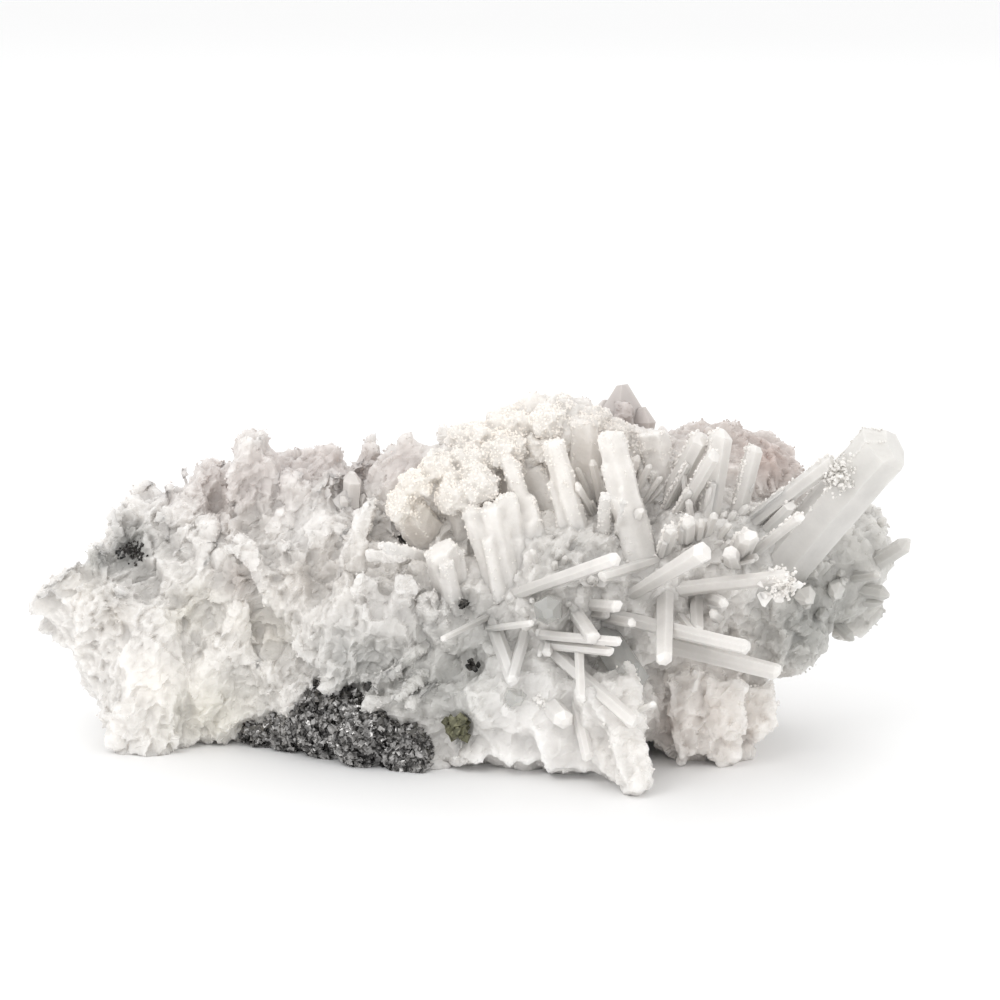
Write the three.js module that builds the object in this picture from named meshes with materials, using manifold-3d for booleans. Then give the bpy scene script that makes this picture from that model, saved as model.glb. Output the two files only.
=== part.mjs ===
// Quartz specimen: a broken mass of milky quartz with sprays of slender prisms, a seam of
// galena low on its front, one crystal of pyrite and a few small black crystals of sphalerite.
// Millimetres, +Z up. The front faces -Y and the whole stands on a flat cut at Z = 0.
import * as THREE from "three";
import { mergeVertices } from "three/addons/utils/BufferGeometryUtils.js";
import Module from "manifold-3d";

const wasm = await Module();
wasm.setup();

// ---- driving dimensions -----------------------------------------------------------------------

const FIT_GAP = 0.3; // clearance between two minerals that touch
const CUT_DEPTH = 60; // height of the block that cuts the base flat
const CUT_SPAN = 400; // side of that block
const PRISM_SIDES = 6;
const TIP_LENGTH = 0.42; // of the width: how long the pointed end is
const TIP_TAPER = 0.84; // width below the point, of the width at the foot
const TIP_LEAN = 0.16; // how far a point sits off its axis, of the width
const SHORTEST_SHAFT = 0.4; // of the length: the least part of a prism below its point
const LUMP_ROUGHNESS = [0.95, 1.3]; // range of a corner's distance from the middle
const BLADE_SIDES = 5;
const BLADE_TAPER = 0.55; // width at the shoulder, of the width at the foot
const BLADE_SHOULDER = 0.88; // where the shoulder is, of the length
const SHARD_SIDES = 4;
const SHARD_ROOT = 0.45; // where a shard starts, of the way from a lump's middle to its face
const SHARD_REACH = [1.12, 1.42]; // and where it ends
const SHARD_WIDTH = [0.7, 1.3]; // its width, of the lump's mean half size
const SHARD_LEAN = 0.3; // how far it leans away from straight out, of its length
const SPRAY_WIDTH = [0.5, 1]; // range of the widths in a spray, of its thickest
const WELD_DISTANCE = 1e-4; // corners closer than this are one corner
const SEED = 163;

// The quartz mass, as overlapping lumps: centre x, y, z, half width, depth and height, and how
// many broken points stand out of it.
const MASS = [
  // left end, low and stepped
  [-82, 12, 27, 6, 7, 5, 2],
  [-74, 11, 29, 9, 11, 8, 4],
  [-72, 10, 16, 7, 9, 9, 3],
  [-64, 9, 14, 8, 10, 16, 4],
  [-64, 6, 4, 9, 7, 6, 2],
  [-52, 14, 10, 15, 13, 13, 2],
  [-47, 11, 28, 8, 9, 13, 3],
  [-60, 21, 33, 16, 15, 15, 6],
  [-41, 23, 38, 16, 15, 16, 5],
  [-34, 25, 47, 9, 9, 9, 3],
  // middle, behind the seam of galena
  [-27, 18, 40, 13, 15, 13, 4],
  [-33, 9, 30, 11, 12, 12, 5],
  [-19, 3, 27, 15, 15, 14, 5],
  [-8, 1, 11.5, 18, 15, 15, 2],
  [-30, 10, 12, 14, 13, 14, 1],
  [-2, 0, 30, 14, 14, 13, 0],
  [11, -6, 12, 21, 15, 14, 2],
  [25, -8, 12, 11, 13, 12, 1],
  [19, 0, 32, 18, 17, 16, 0],
  [33, -2, 33, 14, 15, 13, 0],
  // crest
  [1, 10, 50, 13, 12, 14, 0],
  [17, 13, 56, 13, 12, 14, 0],
  [32, 15, 52, 13, 14, 12, 3],
  [-12, 16, 49, 9, 10, 10, 3],
  [30, 28, 58, 6, 6, 7, 0],
  // right end, which overhangs
  [50, 21, 47, 17, 13, 15, 3],
  [59, 24, 51, 7, 8, 9, 1],
  [48, 4, 39, 15, 15, 13, 0],
  [61, 9, 33, 13, 13, 11, 0],
  [74, 17, 36, 11, 12, 13, 4],
  [59, 9, 22, 13, 12, 7, 3],
  [48, 1, 9, 11, 13, 12, 4],
  [41, 6, 17, 12, 13, 12, 0],
  // back
  [-52, 30, 20, 19, 12, 18, 3],
  [-20, 31, 24, 23, 13, 23, 4],
  [12, 31, 26, 23, 13, 25, 4],
  [38, 28, 26, 17, 13, 24, 3],
  [57, 25, 26, 13, 12, 15, 3],
  // underside
  [-10, 18, 8, 48, 11, 10, 0],
];

// Crystals, spray by spray: foot x, y, z, tip x, y, z, width. Each has its foot inside the mass.
const FRONT_SPRAY = [
  [2, -5, 31, 28.5, -36, 48, 3], // long, to the upper right
  [27, -7, 31, 45, -38, 50, 4.4], // flat blade
  [28, -5, 33, 62, -25, 42, 3.2], // long and nearly level, with a sugary end
  [20, -9, 32, 54, -35, 30, 3],
  [26, -5, 27, 60.5, -27, 23, 3.2], // the lowest long one
  [39, -2, 39, 37.5, -37, 28, 3.6], // hangs down across the others
  [21, -6, 32, 28.5, -32, 37.5, 2.6],
  [5, -4, 26, 29, -38, 32, 2],
  [6, -4, 24, 27.5, -34, 29, 2],
  [21, -7, 38, 21.5, -35, 19.5, 2.2],
  [19, -10, 21, 23, -34, 7.5, 2.6],
  [9, -7, 29, 32, -37, 15.5, 3.4], // long diagonal
  [28, -10, 8, 35.5, -36, 19, 1.6],
  [25.5, -8, 28, 33, -26, 19.5, 8], // broad and clear
  [26.5, -12, 30.5, 31.5, -31, 34, 2],
  [45, -3, 36, 44.5, -22, 30, 2.8],
  [47, -4, 33, 49.5, -27, 37, 3],
  [50, -2, 28, 47.5, -23, 34, 2.6],
  [53, 0, 38, 50.5, -26, 47, 4.4],
  [42, -4, 42, 25.5, -24, 41.5, 2.2],
  [16.5, -8, 33, 15, -28, 35.5, 6], // clear, seen end on
  [5, -8, 30.5, -5.5, -28, 30, 1.4],
  [1, -8, 27, 12, -31, 34, 1.6],
  [3, -7, 32, 8.5, -27, 21, 2.8],
  [12, -10, 31, 8, -28, 21.5, 2.4],
  [13, -8, 15, 18.5, -30, 14, 4.4],
  [6, -10, 9, 7, -26, 19.5, 5.6],
];

const CREST_COLUMNS = [
  [23, -4, 40, 16, -5, 65, 4.4],
  [34, -6, 40, 27, -6, 67, 6.4], // the biggest column
  [26, -3, 40, 26.5, -17, 56.5, 2.6],
  [28, -4, 41, 30, -18, 55.5, 1.6],
  [15, -2, 39, 7.5, -3, 61, 4],
  [17.5, -2, 42.5, 12.5, 2, 58.5, 4.4],
  [22, 0, 41.5, 19, 6, 62, 4.4],
  [11, -10, 32, 5, -14, 52.5, 11.2], // broad, rounded
  [-6, 5, 41, -13, -5, 52, 7.5], // swollen and creamy
  [-1, 2, 40, -2, -3, 60, 7],
  [5, 2, 42, 3, -2, 62, 6],
  [10, 3, 44, 8, 2, 65, 7],
  [24, 4, 44, 22, 3, 68, 7],
  [39, 5, 44, 36, 4, 65, 7],
  [-3.5, -8, 32, -6, -13, 45, 6.8],
  [-4, 5, 46, -6.5, -3, 62, 4.4],
  [14, -6, 32, 13, -19, 46, 8.8],
  [1, 5, 54, 0.5, 6, 66, 2.8],
  [18, 4, 60, 18.5, 8, 72, 3.2],
  [-5, -2, 40, -18, -20, 47, 2.2],
];

const RIGHT_FAN = [
  [36, 4, 44, 46, -4, 66, 4.4],
  [39, 2, 43, 48, -14, 64, 2.8],
  [46, -4, 42, 50, -5, 67, 5.4],
  [52, -2, 44, 56.5, -6, 64, 3.6],
  [43, -2, 42, 42.5, -20, 52, 3.2],
  [38, -6, 41, 39.5, -20, 50.5, 2.8],
  [58, 0, 33, 82.5, -12, 67, 11], // the great prism at the upper right
  [51, 0, 43, 71, -14, 62.5, 3.8],
  [54, -4, 40, 64, -26, 54, 2.2],
  [55.5, 0, 42, 63.5, -10, 53, 2.8],
  [52, 0, 37, 54.5, -20, 49, 4.4],
];

const RIGHT_END = [
  [76, 12, 32, 88.5, 4, 42.5, 3.6],
  [79, 17, 38, 80, 14, 50, 4],
  [79, 17, 41, 84.5, 13, 45, 2],
  [74, 10, 33, 82, -2, 37, 2],
  [73, 10, 32.5, 84.5, 4, 31.5, 3.2],
  [72, 12, 29, 83.5, 6, 29.5, 2.8],
  [67.5, 8, 32, 66.5, -10, 34, 4.4],
  [73.5, 10, 32.5, 73, -6, 34, 4],
  [70, 12, 28, 70.5, -2, 28.5, 3.2],
  [70, 14, 28, 77.5, 8, 21, 2.4],
];

const SKYLINE = [
  [30.5, 28, 58, 30.5, 28, 70.5, 9.2], // peak
  [-11.5, 15, 50, -12, 14, 62.5, 6.8],
  [-4, 15, 50, -5.5, 14, 64, 2],
  [-25, 20, 50, -19.5, 22, 61.5, 2.4],
  [-27, 15, 46, -20.5, 18, 58.5, 6],
  [-37, 20, 46, -27.5, 24, 58, 6.4],
  [-42, 24, 42, -46, 28, 60.5, 6.4],
  [-51, 24, 40, -53, 26, 54.5, 6],
  [-48, 27, 42, -48.5, 30, 54.5, 5.6],
  [-57, 20, 44, -59.5, 22, 54.5, 1.8],
  [-60, 17, 40, -62.5, 18, 51.5, 6.4],
  [-70, 13, 35, -72.5, 12, 47, 1.8],
];

const CENTRE_CRYSTALS = [
  [-36.5, 12, 40, -35, 14, 55.5, 5.2],
  [-25, 12, 41, -24, 10, 55, 4.8],
  [-28, -1, 33, -20, -12, 54.5, 3.6], // forked prism, long side
  [-26, 2, 35, -24, -10, 53.5, 2],
  [-21, -5, 23.5, -20, -16, 40.5, 5.6],
  [-16.5, -8, 22, -13.5, -18, 38, 5.6],
  [-10, -8, 20, -9, -18, 36, 4.4],
  [-3.5, -8, 27, -22, -16, 16.5, 3.6],
  [1, -6, 26, -15.5, -18, 15, 3.2],
];

// Broken blades, which taper from a broad foot, given in the same way.
const BLADES = [
  [22, -8, 22, 34.5, -42, 1.5, 14], // the lowest crystal of the front spray
  [-46, 8, 13, -48.5, 3, 42, 10], // the tall one
  [-35, 6, 22, -47, 1, 43, 7], // leans against it
  [-62, 5, 6, -63, 1, 32, 11], // broad and bright
  [-50, 10, 4, -52, -4, 20.5, 8],
  [-43, 8, 7, -40, -5, 21, 8],
  [-71, 10, 17, -74, 6, 38, 9],
  [-77, 11, 24, -79, 5, 33, 6],
  [-74, 12, 28, -89.5, 12, 29, 9], // blunt left end
  [-76, 12, 25, -88, 11, 24.5, 8],
  [-52, 13, 21, -57.5, 1, 36, 6],
  [-37.5, 6, 20, -33, -5, 37.5, 7],
  [-30.5, 2, 20, -30, -9, 33, 6],
  [-30, 12, 38, -29, 10, 54, 6],
  [-60, 6, 3, -71, 4, 2, 7],
  [-41, 14, 36, -42, 6, 50, 8],
  [-54, 14, 34, -56, 6, 45, 7],
  [-66, 14, 32, -67, 8, 45, 7],
];

// Sprays of smaller crystals round the sides and the back:
// root x, y, z, aim x, y, z, how many, spread, shortest, longest, thickest.
const SIDE_SPRAYS = [
  [-60, 30, 22, -0.4, 1, 0.3, 4, 0.6, 13, 19, 5],
  [-30, 34, 30, 0, 1, 0.5, 4, 0.7, 13, 19, 5.4],
  [0, 34, 38, 0.1, 1, 0.6, 4, 0.7, 14, 19, 5],
  [28, 32, 40, 0.1, 1, 0.5, 4, 0.7, 14, 20, 5.4],
  [52, 27, 30, 0.6, 1, 0.2, 4, 0.6, 13, 19, 5],
];

// Galena: overlapping lumps along the foot of the front, from left to right.
const GALENA = [
  [-42, 8, 3, 4.5, 5, 3.6],
  [-35, 4, 5, 5.5, 6, 5],
  [-28, -1, 7.5, 6.5, 7, 7],
  [-20, -7, 6, 6.5, 7, 6.6],
  [-13, -11, 3.5, 5, 5, 4.6],
];

// Pyrite: small cubes grown through one another, centre x, y, z, edge, turn.
const PYRITE = [
  [-3.4, -17.5, 10.2, 3.8, 0.5],
  [-2.2, -18.1, 9.2, 2.8, 1.1],
];

// Sphalerite: separate small black crystals, centre x, y, z, then half width, depth and height.
const SPHALERITE = [
  [-20.6, -15.4, 17.6, 1.4, 1.6, 1.4],
  [-1.4, -12.5, 33.6, 1.5, 1.8, 1.5],
  [0.6, -14, 21.5, 1.7, 1.8, 1.5],
  [-69, 7, 39, 5, 4, 3],
];

// ---- random numbers, the same on every run ------------------------------------------------------

let state = SEED;

function random() {
  state = (state + 0x6d2b79f5) | 0;
  let bits = Math.imul(state ^ (state >>> 15), 1 | state);
  bits = (bits + Math.imul(bits ^ (bits >>> 7), 61 | bits)) ^ bits;
  return ((bits ^ (bits >>> 14)) >>> 0) / 4294967296;
}

function range(low, high) {
  return low + (high - low) * random();
}

// ---- solids -------------------------------------------------------------------------------------

// A closed three.js geometry as a solid that can be joined and cut.
function toSolid(geometry) {
  const bare = new THREE.BufferGeometry();
  bare.setAttribute("position", geometry.getAttribute("position"));
  bare.setIndex(geometry.getIndex());
  const welded = mergeVertices(bare, WELD_DISTANCE);
  const corners = welded.getIndex().array;
  const faces = [];
  for (let i = 0; i < corners.length; i += 3) {
    const [a, b, c] = corners.slice(i, i + 3);
    if (a !== b && b !== c && c !== a) faces.push(a, b, c);
  }
  return new wasm.Manifold(
    new wasm.Mesh({
      numProp: 3,
      vertProperties: new Float32Array(welded.getAttribute("position").array),
      triVerts: new Uint32Array(faces),
    }),
  );
}

function joined(solids) {
  return solids.reduce((whole, solid) => whole.add(solid));
}

// The largest connected body of a solid, without stray chips or closed pockets.
function largestBody(solid) {
  const bodies = solid.decompose();
  return bodies.reduce((best, body) => (body.volume() > best.volume() ? body : best));
}

function toGeometry(solid) {
  const mesh = solid.getMesh();
  const geometry = new THREE.BufferGeometry();
  geometry.setAttribute("position", new THREE.Float32BufferAttribute(mesh.vertProperties, 3));
  geometry.setIndex(new THREE.Uint32BufferAttribute(mesh.triVerts, 1));
  geometry.computeVertexNormals();
  return geometry;
}

// ---- forms of the minerals ------------------------------------------------------------------------

// An angular block: an icosahedron whose corners are moved in and out.
function lump([x, y, z, halfWidth, halfDepth, halfHeight]) {
  const ball = new THREE.IcosahedronGeometry(1);
  ball.deleteAttribute("normal");
  ball.deleteAttribute("uv");
  const geometry = mergeVertices(ball, WELD_DISTANCE);
  const corners = geometry.getAttribute("position");
  const corner = new THREE.Vector3();
  for (let i = 0; i < corners.count; i += 1) {
    corner.fromBufferAttribute(corners, i).multiplyScalar(range(...LUMP_ROUGHNESS));
    corners.setXYZ(
      i,
      x + corner.x * halfWidth,
      y + corner.y * halfDepth,
      z + corner.z * halfHeight,
    );
  }
  return toSolid(geometry);
}

// The side of a prism with a blunt point, as a profile to turn about its axis.
function prismProfile(length, width) {
  const radius = width / 2;
  const shoulder = Math.max(length - width * TIP_LENGTH, length * SHORTEST_SHAFT);
  return [
    new THREE.Vector2(0, 0),
    new THREE.Vector2(radius, 0),
    new THREE.Vector2(radius * TIP_TAPER, shoulder),
    new THREE.Vector2(0, length),
  ];
}

// The side of a broken point, the same way.
function shardProfile(length, width) {
  return [new THREE.Vector2(0, 0), new THREE.Vector2(width / 2, 0), new THREE.Vector2(0, length)];
}

// The side of a blade that narrows towards a blunt end.
function bladeProfile(length, width) {
  const radius = width / 2;
  return [
    new THREE.Vector2(0, 0),
    new THREE.Vector2(radius, 0),
    new THREE.Vector2(radius * BLADE_TAPER, length * BLADE_SHOULDER),
    new THREE.Vector2(0, length),
  ];
}

// A profile turned with few sides, with its tip a little off its axis, laid from foot to tip.
function faceted([footX, footY, footZ, tipX, tipY, tipZ, width], profile, sides) {
  const foot = new THREE.Vector3(footX, footY, footZ);
  const along = new THREE.Vector3(tipX, tipY, tipZ).sub(foot);
  const length = along.length();
  const geometry = new THREE.LatheGeometry(profile(length, width), sides);
  const corners = geometry.getAttribute("position");
  const lean = width * TIP_LEAN * range(-1, 1);
  for (let i = 0; i < corners.count; i += 1) {
    if (corners.getY(i) === length) corners.setX(i, lean);
  }
  geometry.rotateY(range(0, Math.PI));
  const turn = new THREE.Quaternion();
  turn.setFromUnitVectors(new THREE.Vector3(0, 1, 0), along.normalize());
  geometry.applyQuaternion(turn);
  geometry.translate(footX, footY, footZ);
  return toSolid(geometry);
}

function crystal(row) {
  return faceted(row, prismProfile, PRISM_SIDES);
}

function blade(row) {
  return faceted(row, bladeProfile, BLADE_SIDES);
}

// Broken points that stand out of a lump in all directions.
function shards([x, y, z, halfWidth, halfDepth, halfHeight, count]) {
  const middle = new THREE.Vector3(x, y, z);
  const halves = new THREE.Vector3(halfWidth, halfDepth, halfHeight);
  const meanHalf = (halfWidth + halfDepth + halfHeight) / 3;
  const points = [];
  for (let i = 0; i < count; i += 1) {
    const out = new THREE.Vector3(range(-1, 1), range(-1, 1), range(-1, 1)).normalize();
    const lean = new THREE.Vector3(range(-1, 1), range(-1, 1), range(-1, 1));
    const face = out.multiply(halves);
    const foot = face.clone().multiplyScalar(SHARD_ROOT).add(middle);
    const tip = face.clone().multiplyScalar(range(...SHARD_REACH)).add(middle);
    tip.addScaledVector(lean, SHARD_LEAN * tip.distanceTo(foot));
    const width = range(...SHARD_WIDTH) * meanHalf;
    points.push(faceted([...foot.toArray(), ...tip.toArray(), width], shardProfile, SHARD_SIDES));
  }
  return points;
}

// A spray: crystals that lean apart from one root.
function spray([x, y, z, aimX, aimY, aimZ, count, spread, shortest, longest, thickest]) {
  const crystals = [];
  for (let i = 0; i < count; i += 1) {
    const aim = new THREE.Vector3(aimX, aimY, aimZ).normalize();
    aim.x += range(-spread, spread);
    aim.y += range(-spread, spread);
    aim.z += range(-spread, spread);
    aim.normalize().multiplyScalar(range(shortest, longest));
    const width = range(...SPRAY_WIDTH) * thickest;
    crystals.push(crystal([x, y, z, x + aim.x, y + aim.y, z + aim.z, width]));
  }
  return crystals;
}

// A cube, turned about the upright axis and tipped by half as much.
function cube([x, y, z, edge, turn], growth = 0) {
  const side = edge + growth * 2;
  const geometry = new THREE.BoxGeometry(side, side, side);
  geometry.rotateZ(turn);
  geometry.rotateX(turn / 2);
  geometry.translate(x, y, z);
  return toSolid(geometry);
}

function grown([x, y, z, ...halves], growth) {
  return [x, y, z, ...halves.map((half) => half + growth)];
}

// A lump and the larger copy of it that leaves room round it.
function lumpWithRoom(row) {
  const start = state;
  const solid = lump(row);
  state = start;
  return { solid, room: lump(grown(row, FIT_GAP / LUMP_ROUGHNESS[0])) };
}

// ---- the minerals -----------------------------------------------------------------------------------

const below = toSolid(
  new THREE.BoxGeometry(CUT_SPAN, CUT_SPAN, CUT_DEPTH).translate(0, 0, -CUT_DEPTH / 2),
);

const galenaLumps = GALENA.map(lumpWithRoom);
const galena = largestBody(joined(galenaLumps.map((piece) => piece.solid)).subtract(below));

const pyrite = joined(PYRITE.map((row) => cube(row)));

const sphaleriteLumps = SPHALERITE.map(lumpWithRoom);

const sockets = joined([
  ...galenaLumps.map((piece) => piece.room),
  ...PYRITE.map((row) => cube(row, FIT_GAP)),
  ...sphaleriteLumps.map((piece) => piece.room),
]);

const prisms = [
  ...FRONT_SPRAY,
  ...CREST_COLUMNS,
  ...RIGHT_FAN,
  ...RIGHT_END,
  ...SKYLINE,
  ...CENTRE_CRYSTALS,
];

const quartz = largestBody(
  joined([
    ...MASS.map(lump),
    ...MASS.flatMap(shards),
    ...prisms.map(crystal),
    ...BLADES.map(blade),
    ...SIDE_SPRAYS.flatMap(spray),
  ])
    .subtract(below)
    .subtract(sockets),
);

// ---- the scene graph ----------------------------------------------------------------------------------

const milkyQuartz = { color: 0xe1dfdb, roughness: 0.35, metalness: 0 };
const leadGrey = { color: 0x3a3b3e, roughness: 0.32, metalness: 0.9 };
const paleBrass = { color: 0x6d6b3f, roughness: 0.38, metalness: 0.8 };
const resinBlack = { color: 0x1b1a1a, roughness: 0.3, metalness: 0.1 };

function piece(name, solid, finish) {
  const mesh = new THREE.Mesh(toGeometry(solid), new THREE.MeshStandardMaterial(finish));
  mesh.name = name;
  return mesh;
}

const specimen = new THREE.Group();
specimen.add(piece("quartz_cluster", quartz, milkyQuartz));
specimen.add(piece("galena_seam", galena, leadGrey));
specimen.add(piece("pyrite_crystal", pyrite, paleBrass));
sphaleriteLumps.forEach(({ solid }, index) => {
  specimen.add(piece(`sphalerite_crystal_${index + 1}`, solid, resinBlack));
});

export default specimen;
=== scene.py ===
# Quartz specimen: a broken mass of milky quartz with sprays of slender prisms, a sugary crest,
# a seam of galena low on its front, one crystal of pyrite and small black sphalerite.
import itertools
import math

import bmesh
import bpy
import numpy as np
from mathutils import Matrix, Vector, noise


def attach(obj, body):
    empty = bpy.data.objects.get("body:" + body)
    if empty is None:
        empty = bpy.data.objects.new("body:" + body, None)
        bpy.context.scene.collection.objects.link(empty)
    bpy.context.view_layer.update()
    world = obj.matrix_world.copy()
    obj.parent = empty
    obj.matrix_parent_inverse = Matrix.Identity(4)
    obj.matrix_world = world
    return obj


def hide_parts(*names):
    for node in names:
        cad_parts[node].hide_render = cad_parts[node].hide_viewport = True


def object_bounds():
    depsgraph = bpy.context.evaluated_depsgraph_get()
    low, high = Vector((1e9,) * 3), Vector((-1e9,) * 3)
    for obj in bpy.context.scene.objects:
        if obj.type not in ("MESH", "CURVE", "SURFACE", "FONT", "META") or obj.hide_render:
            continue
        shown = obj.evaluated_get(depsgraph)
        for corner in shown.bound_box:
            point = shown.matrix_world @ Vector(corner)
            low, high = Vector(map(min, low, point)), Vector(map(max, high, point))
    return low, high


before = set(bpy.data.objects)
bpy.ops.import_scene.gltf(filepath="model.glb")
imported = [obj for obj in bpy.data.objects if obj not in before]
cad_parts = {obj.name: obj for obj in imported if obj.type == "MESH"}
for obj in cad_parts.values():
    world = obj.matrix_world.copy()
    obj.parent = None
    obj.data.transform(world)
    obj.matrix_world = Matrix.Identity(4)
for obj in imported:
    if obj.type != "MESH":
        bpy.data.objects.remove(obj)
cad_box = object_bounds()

MM = 0.001

# ---- forms, in millimetres, in the part's frame --------------------------------------------------

# The quartz mass: centre x, y, z, half width, depth and height of each lump.
MASS = [
    # left end
    (-82, 12, 27, 6, 7, 5),
    (-74, 11, 29, 9, 11, 8),
    (-72, 10, 16, 7, 9, 9),
    (-64, 9, 14, 8, 10, 16),
    (-64, 6, 4, 9, 7, 6),
    (-52, 14, 10, 15, 13, 13),
    (-47, 11, 28, 8, 9, 13),
    (-60, 21, 33, 16, 15, 15),
    (-41, 23, 38, 16, 15, 16),
    (-34, 25, 47, 9, 9, 9),
    # middle
    (-27, 18, 40, 13, 15, 13),
    (-33, 9, 30, 11, 12, 12),
    (-19, 3, 27, 15, 15, 14),
    (-8, 1, 11.5, 18, 15, 15),
    (-30, 10, 12, 14, 13, 14),
    (-2, 0, 30, 14, 14, 13),
    (11, -6, 12, 21, 15, 14),
    (25, -8, 12, 11, 13, 12),
    (19, 0, 32, 18, 17, 16),
    (33, -2, 33, 14, 15, 13),
    # crest
    (1, 10, 50, 13, 12, 14),
    (17, 13, 56, 13, 12, 14),
    (32, 15, 52, 13, 14, 12),
    (-12, 16, 49, 9, 10, 10),
    (30, 28, 58, 6, 6, 7),
    # right end
    (50, 21, 47, 17, 13, 15),
    (59, 24, 51, 7, 8, 9),
    (48, 4, 39, 15, 15, 13),
    (61, 9, 33, 13, 13, 11),
    (74, 17, 36, 11, 12, 13),
    (59, 9, 22, 13, 12, 7),
    (48, 1, 9, 11, 13, 12),
    (41, 6, 17, 12, 13, 12),
    # back
    (-52, 30, 20, 19, 12, 18),
    (-20, 31, 24, 23, 13, 23),
    (12, 31, 26, 23, 13, 25),
    (38, 28, 26, 17, 13, 24),
    (57, 25, 26, 13, 12, 15),
    (-10, 18, 8, 48, 11, 10),
]

# The lumps left of this x and in front of this y make the left half.
LEFT_HALF_X = -15
LEFT_HALF_Y = 28

# Crystals: foot x, y, z, tip x, y, z, width at the tip, width at the foot as a share of that.
# First the spray that points at the viewer.
FRONT_SPRAY = [
    (2, -5, 31, 28.5, -36, 48, 3, 0.9),
    (27, -7, 31, 45, -38, 50, 4.4, 0.45),
    (28, -5, 33, 62, -25, 42, 3.2, 1),
    (20, -9, 32, 54, -35, 30, 3, 1),
    (26, -5, 27, 60.5, -27, 23, 3.2, 1.1),
    (39, -2, 39, 37.5, -37, 28, 3.6, 1.2),
    (21, -6, 32, 28.5, -32, 37.5, 2.6, 1),
    (5, -4, 26, 29, -38, 32, 2, 1),
    (6, -4, 24, 27.5, -34, 29, 2, 1),
    (21, -7, 38, 21.5, -35, 19.5, 2.2, 1.1),
    (19, -10, 21, 23, -34, 7.5, 2.6, 1),
    (9, -7, 29, 32, -37, 15.5, 3.4, 0.9),
    (28, -10, 8, 35.5, -36, 19, 1.6, 1.2),
    (26.5, -12, 30.5, 31.5, -31, 34, 2, 1),
    (45, -3, 36, 44.5, -22, 30, 2.8, 1),
    (47, -4, 33, 49.5, -27, 37, 2.2, 1.4),
    (50, -2, 28, 47.5, -23, 34, 2, 1.4),
    (53, 0, 38, 50.5, -26, 47, 3, 1.4),
    (42, -4, 42, 25.5, -24, 41.5, 2.2, 1),
    (5, -8, 30.5, -5.5, -28, 30, 1.4, 1.2),
    (1, -8, 27, 12, -31, 34, 1.6, 1),
    (3, -7, 32, 8.5, -27, 21, 2.8, 1.1),
    (12, -10, 31, 8, -28, 21.5, 2.4, 1),
    (13, -8, 15, 18.5, -30, 14, 4.4, 1),
    (20, -14, 33, 24, -34, 31.5, 3, 1),
    (18, -14, 36, 26, -30, 28, 1.6, 1),
    (40, -6, 32, 44, -27, 30.5, 2, 1),
]
# Worn columns of the crest.
CREST_COLUMNS = [
    (24, -11, 38, 16, -5, 65, 4.8, 1),
    (35, -11, 38, 27, -6, 67, 6.4, 1.15),
    (26, -3, 40, 26.5, -17, 56.5, 2.6, 1),
    (28, -4, 41, 30, -18, 55.5, 1.6, 1),
    (14.5, -11, 38, 7.5, -3.5, 61, 4.2, 1),
    (17.5, -2, 42.5, 12.5, 2, 58.5, 4.4, 1),
    (22, 0, 41.5, 19, 6, 62, 4.4, 1),
    (-6, 5, 41, -13, -5, 52, 7.5, 1.2),
    (-1, 2, 40, -2, -3, 60, 7, 1.1),
    (5, 2, 42, 3, -2, 62, 6, 1.1),
    (10, 3, 44, 8, 2, 65, 7, 1),
    (24, 4, 44, 22, 3, 68, 7, 1),
    (39, 5, 44, 36, 4, 65, 7, 1),
    (-3.5, -8, 32, -6, -13, 45, 6.8, 1.1),
    (-4, 5, 46, -6.5, -3, 62, 4.4, 1),
    (1, 5, 54, 0.5, 6, 66, 2.8, 1),
    (18, 4, 60, 18.5, 8, 72, 3.2, 1),
    (-5, -2, 40, -18, -20, 47, 2.2, 1.1),
]
# The fan to the right of it, with the great prism.
RIGHT_FAN = [
    (36, 4, 44, 46, -4, 66, 4.4, 0.9),
    (39, 2, 43, 48, -14, 64, 2.8, 1),
    (46, -4, 42, 50, -5, 67, 5.4, 1.1),
    (52, -2, 44, 56.5, -6, 64, 3.6, 1),
    (43, -2, 42, 42.5, -20, 52, 3.2, 1),
    (38, -6, 41, 39.5, -20, 50.5, 2.8, 1),
    (58, 0, 33, 82.5, -12, 67, 11, 0.9),
    (51, 0, 43, 71, -14, 62.5, 3.8, 0.9),
    (54, -4, 40, 64, -26, 54, 2.2, 1),
    (55.5, 0, 42, 63.5, -10, 53, 2.8, 1),
    (52, 0, 37, 54.5, -20, 49, 4.4, 1),
]
# Short crystals at the right end.
RIGHT_END = [
    (76, 12, 32, 88.5, 4, 42.5, 3.6, 1.1),
    (79, 17, 38, 80, 14, 50, 4, 1),
    (79, 17, 41, 84.5, 13, 45, 2, 1),
    (74, 10, 33, 82, -2, 37, 2, 1),
    (73, 10, 32.5, 84.5, 4, 31.5, 3.2, 1),
    (72, 12, 29, 83.5, 6, 29.5, 2.8, 1),
    (67.5, 8, 32, 66.5, -10, 34, 4.4, 1),
    (73.5, 10, 32.5, 73, -6, 34, 4, 1),
    (70, 12, 28, 70.5, -2, 28.5, 3.2, 1),
    (70, 14, 28, 77.5, 8, 21, 2.4, 1),
]
# The mauve peak behind the crest.
PEAK = [
    (30, 28, 57, 30.5, 28, 70, 10, 1),
    (27, 28, 57, 26.5, 28, 67, 7, 1),
    (34, 27, 56, 35, 27, 65.5, 6, 1),
]
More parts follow.
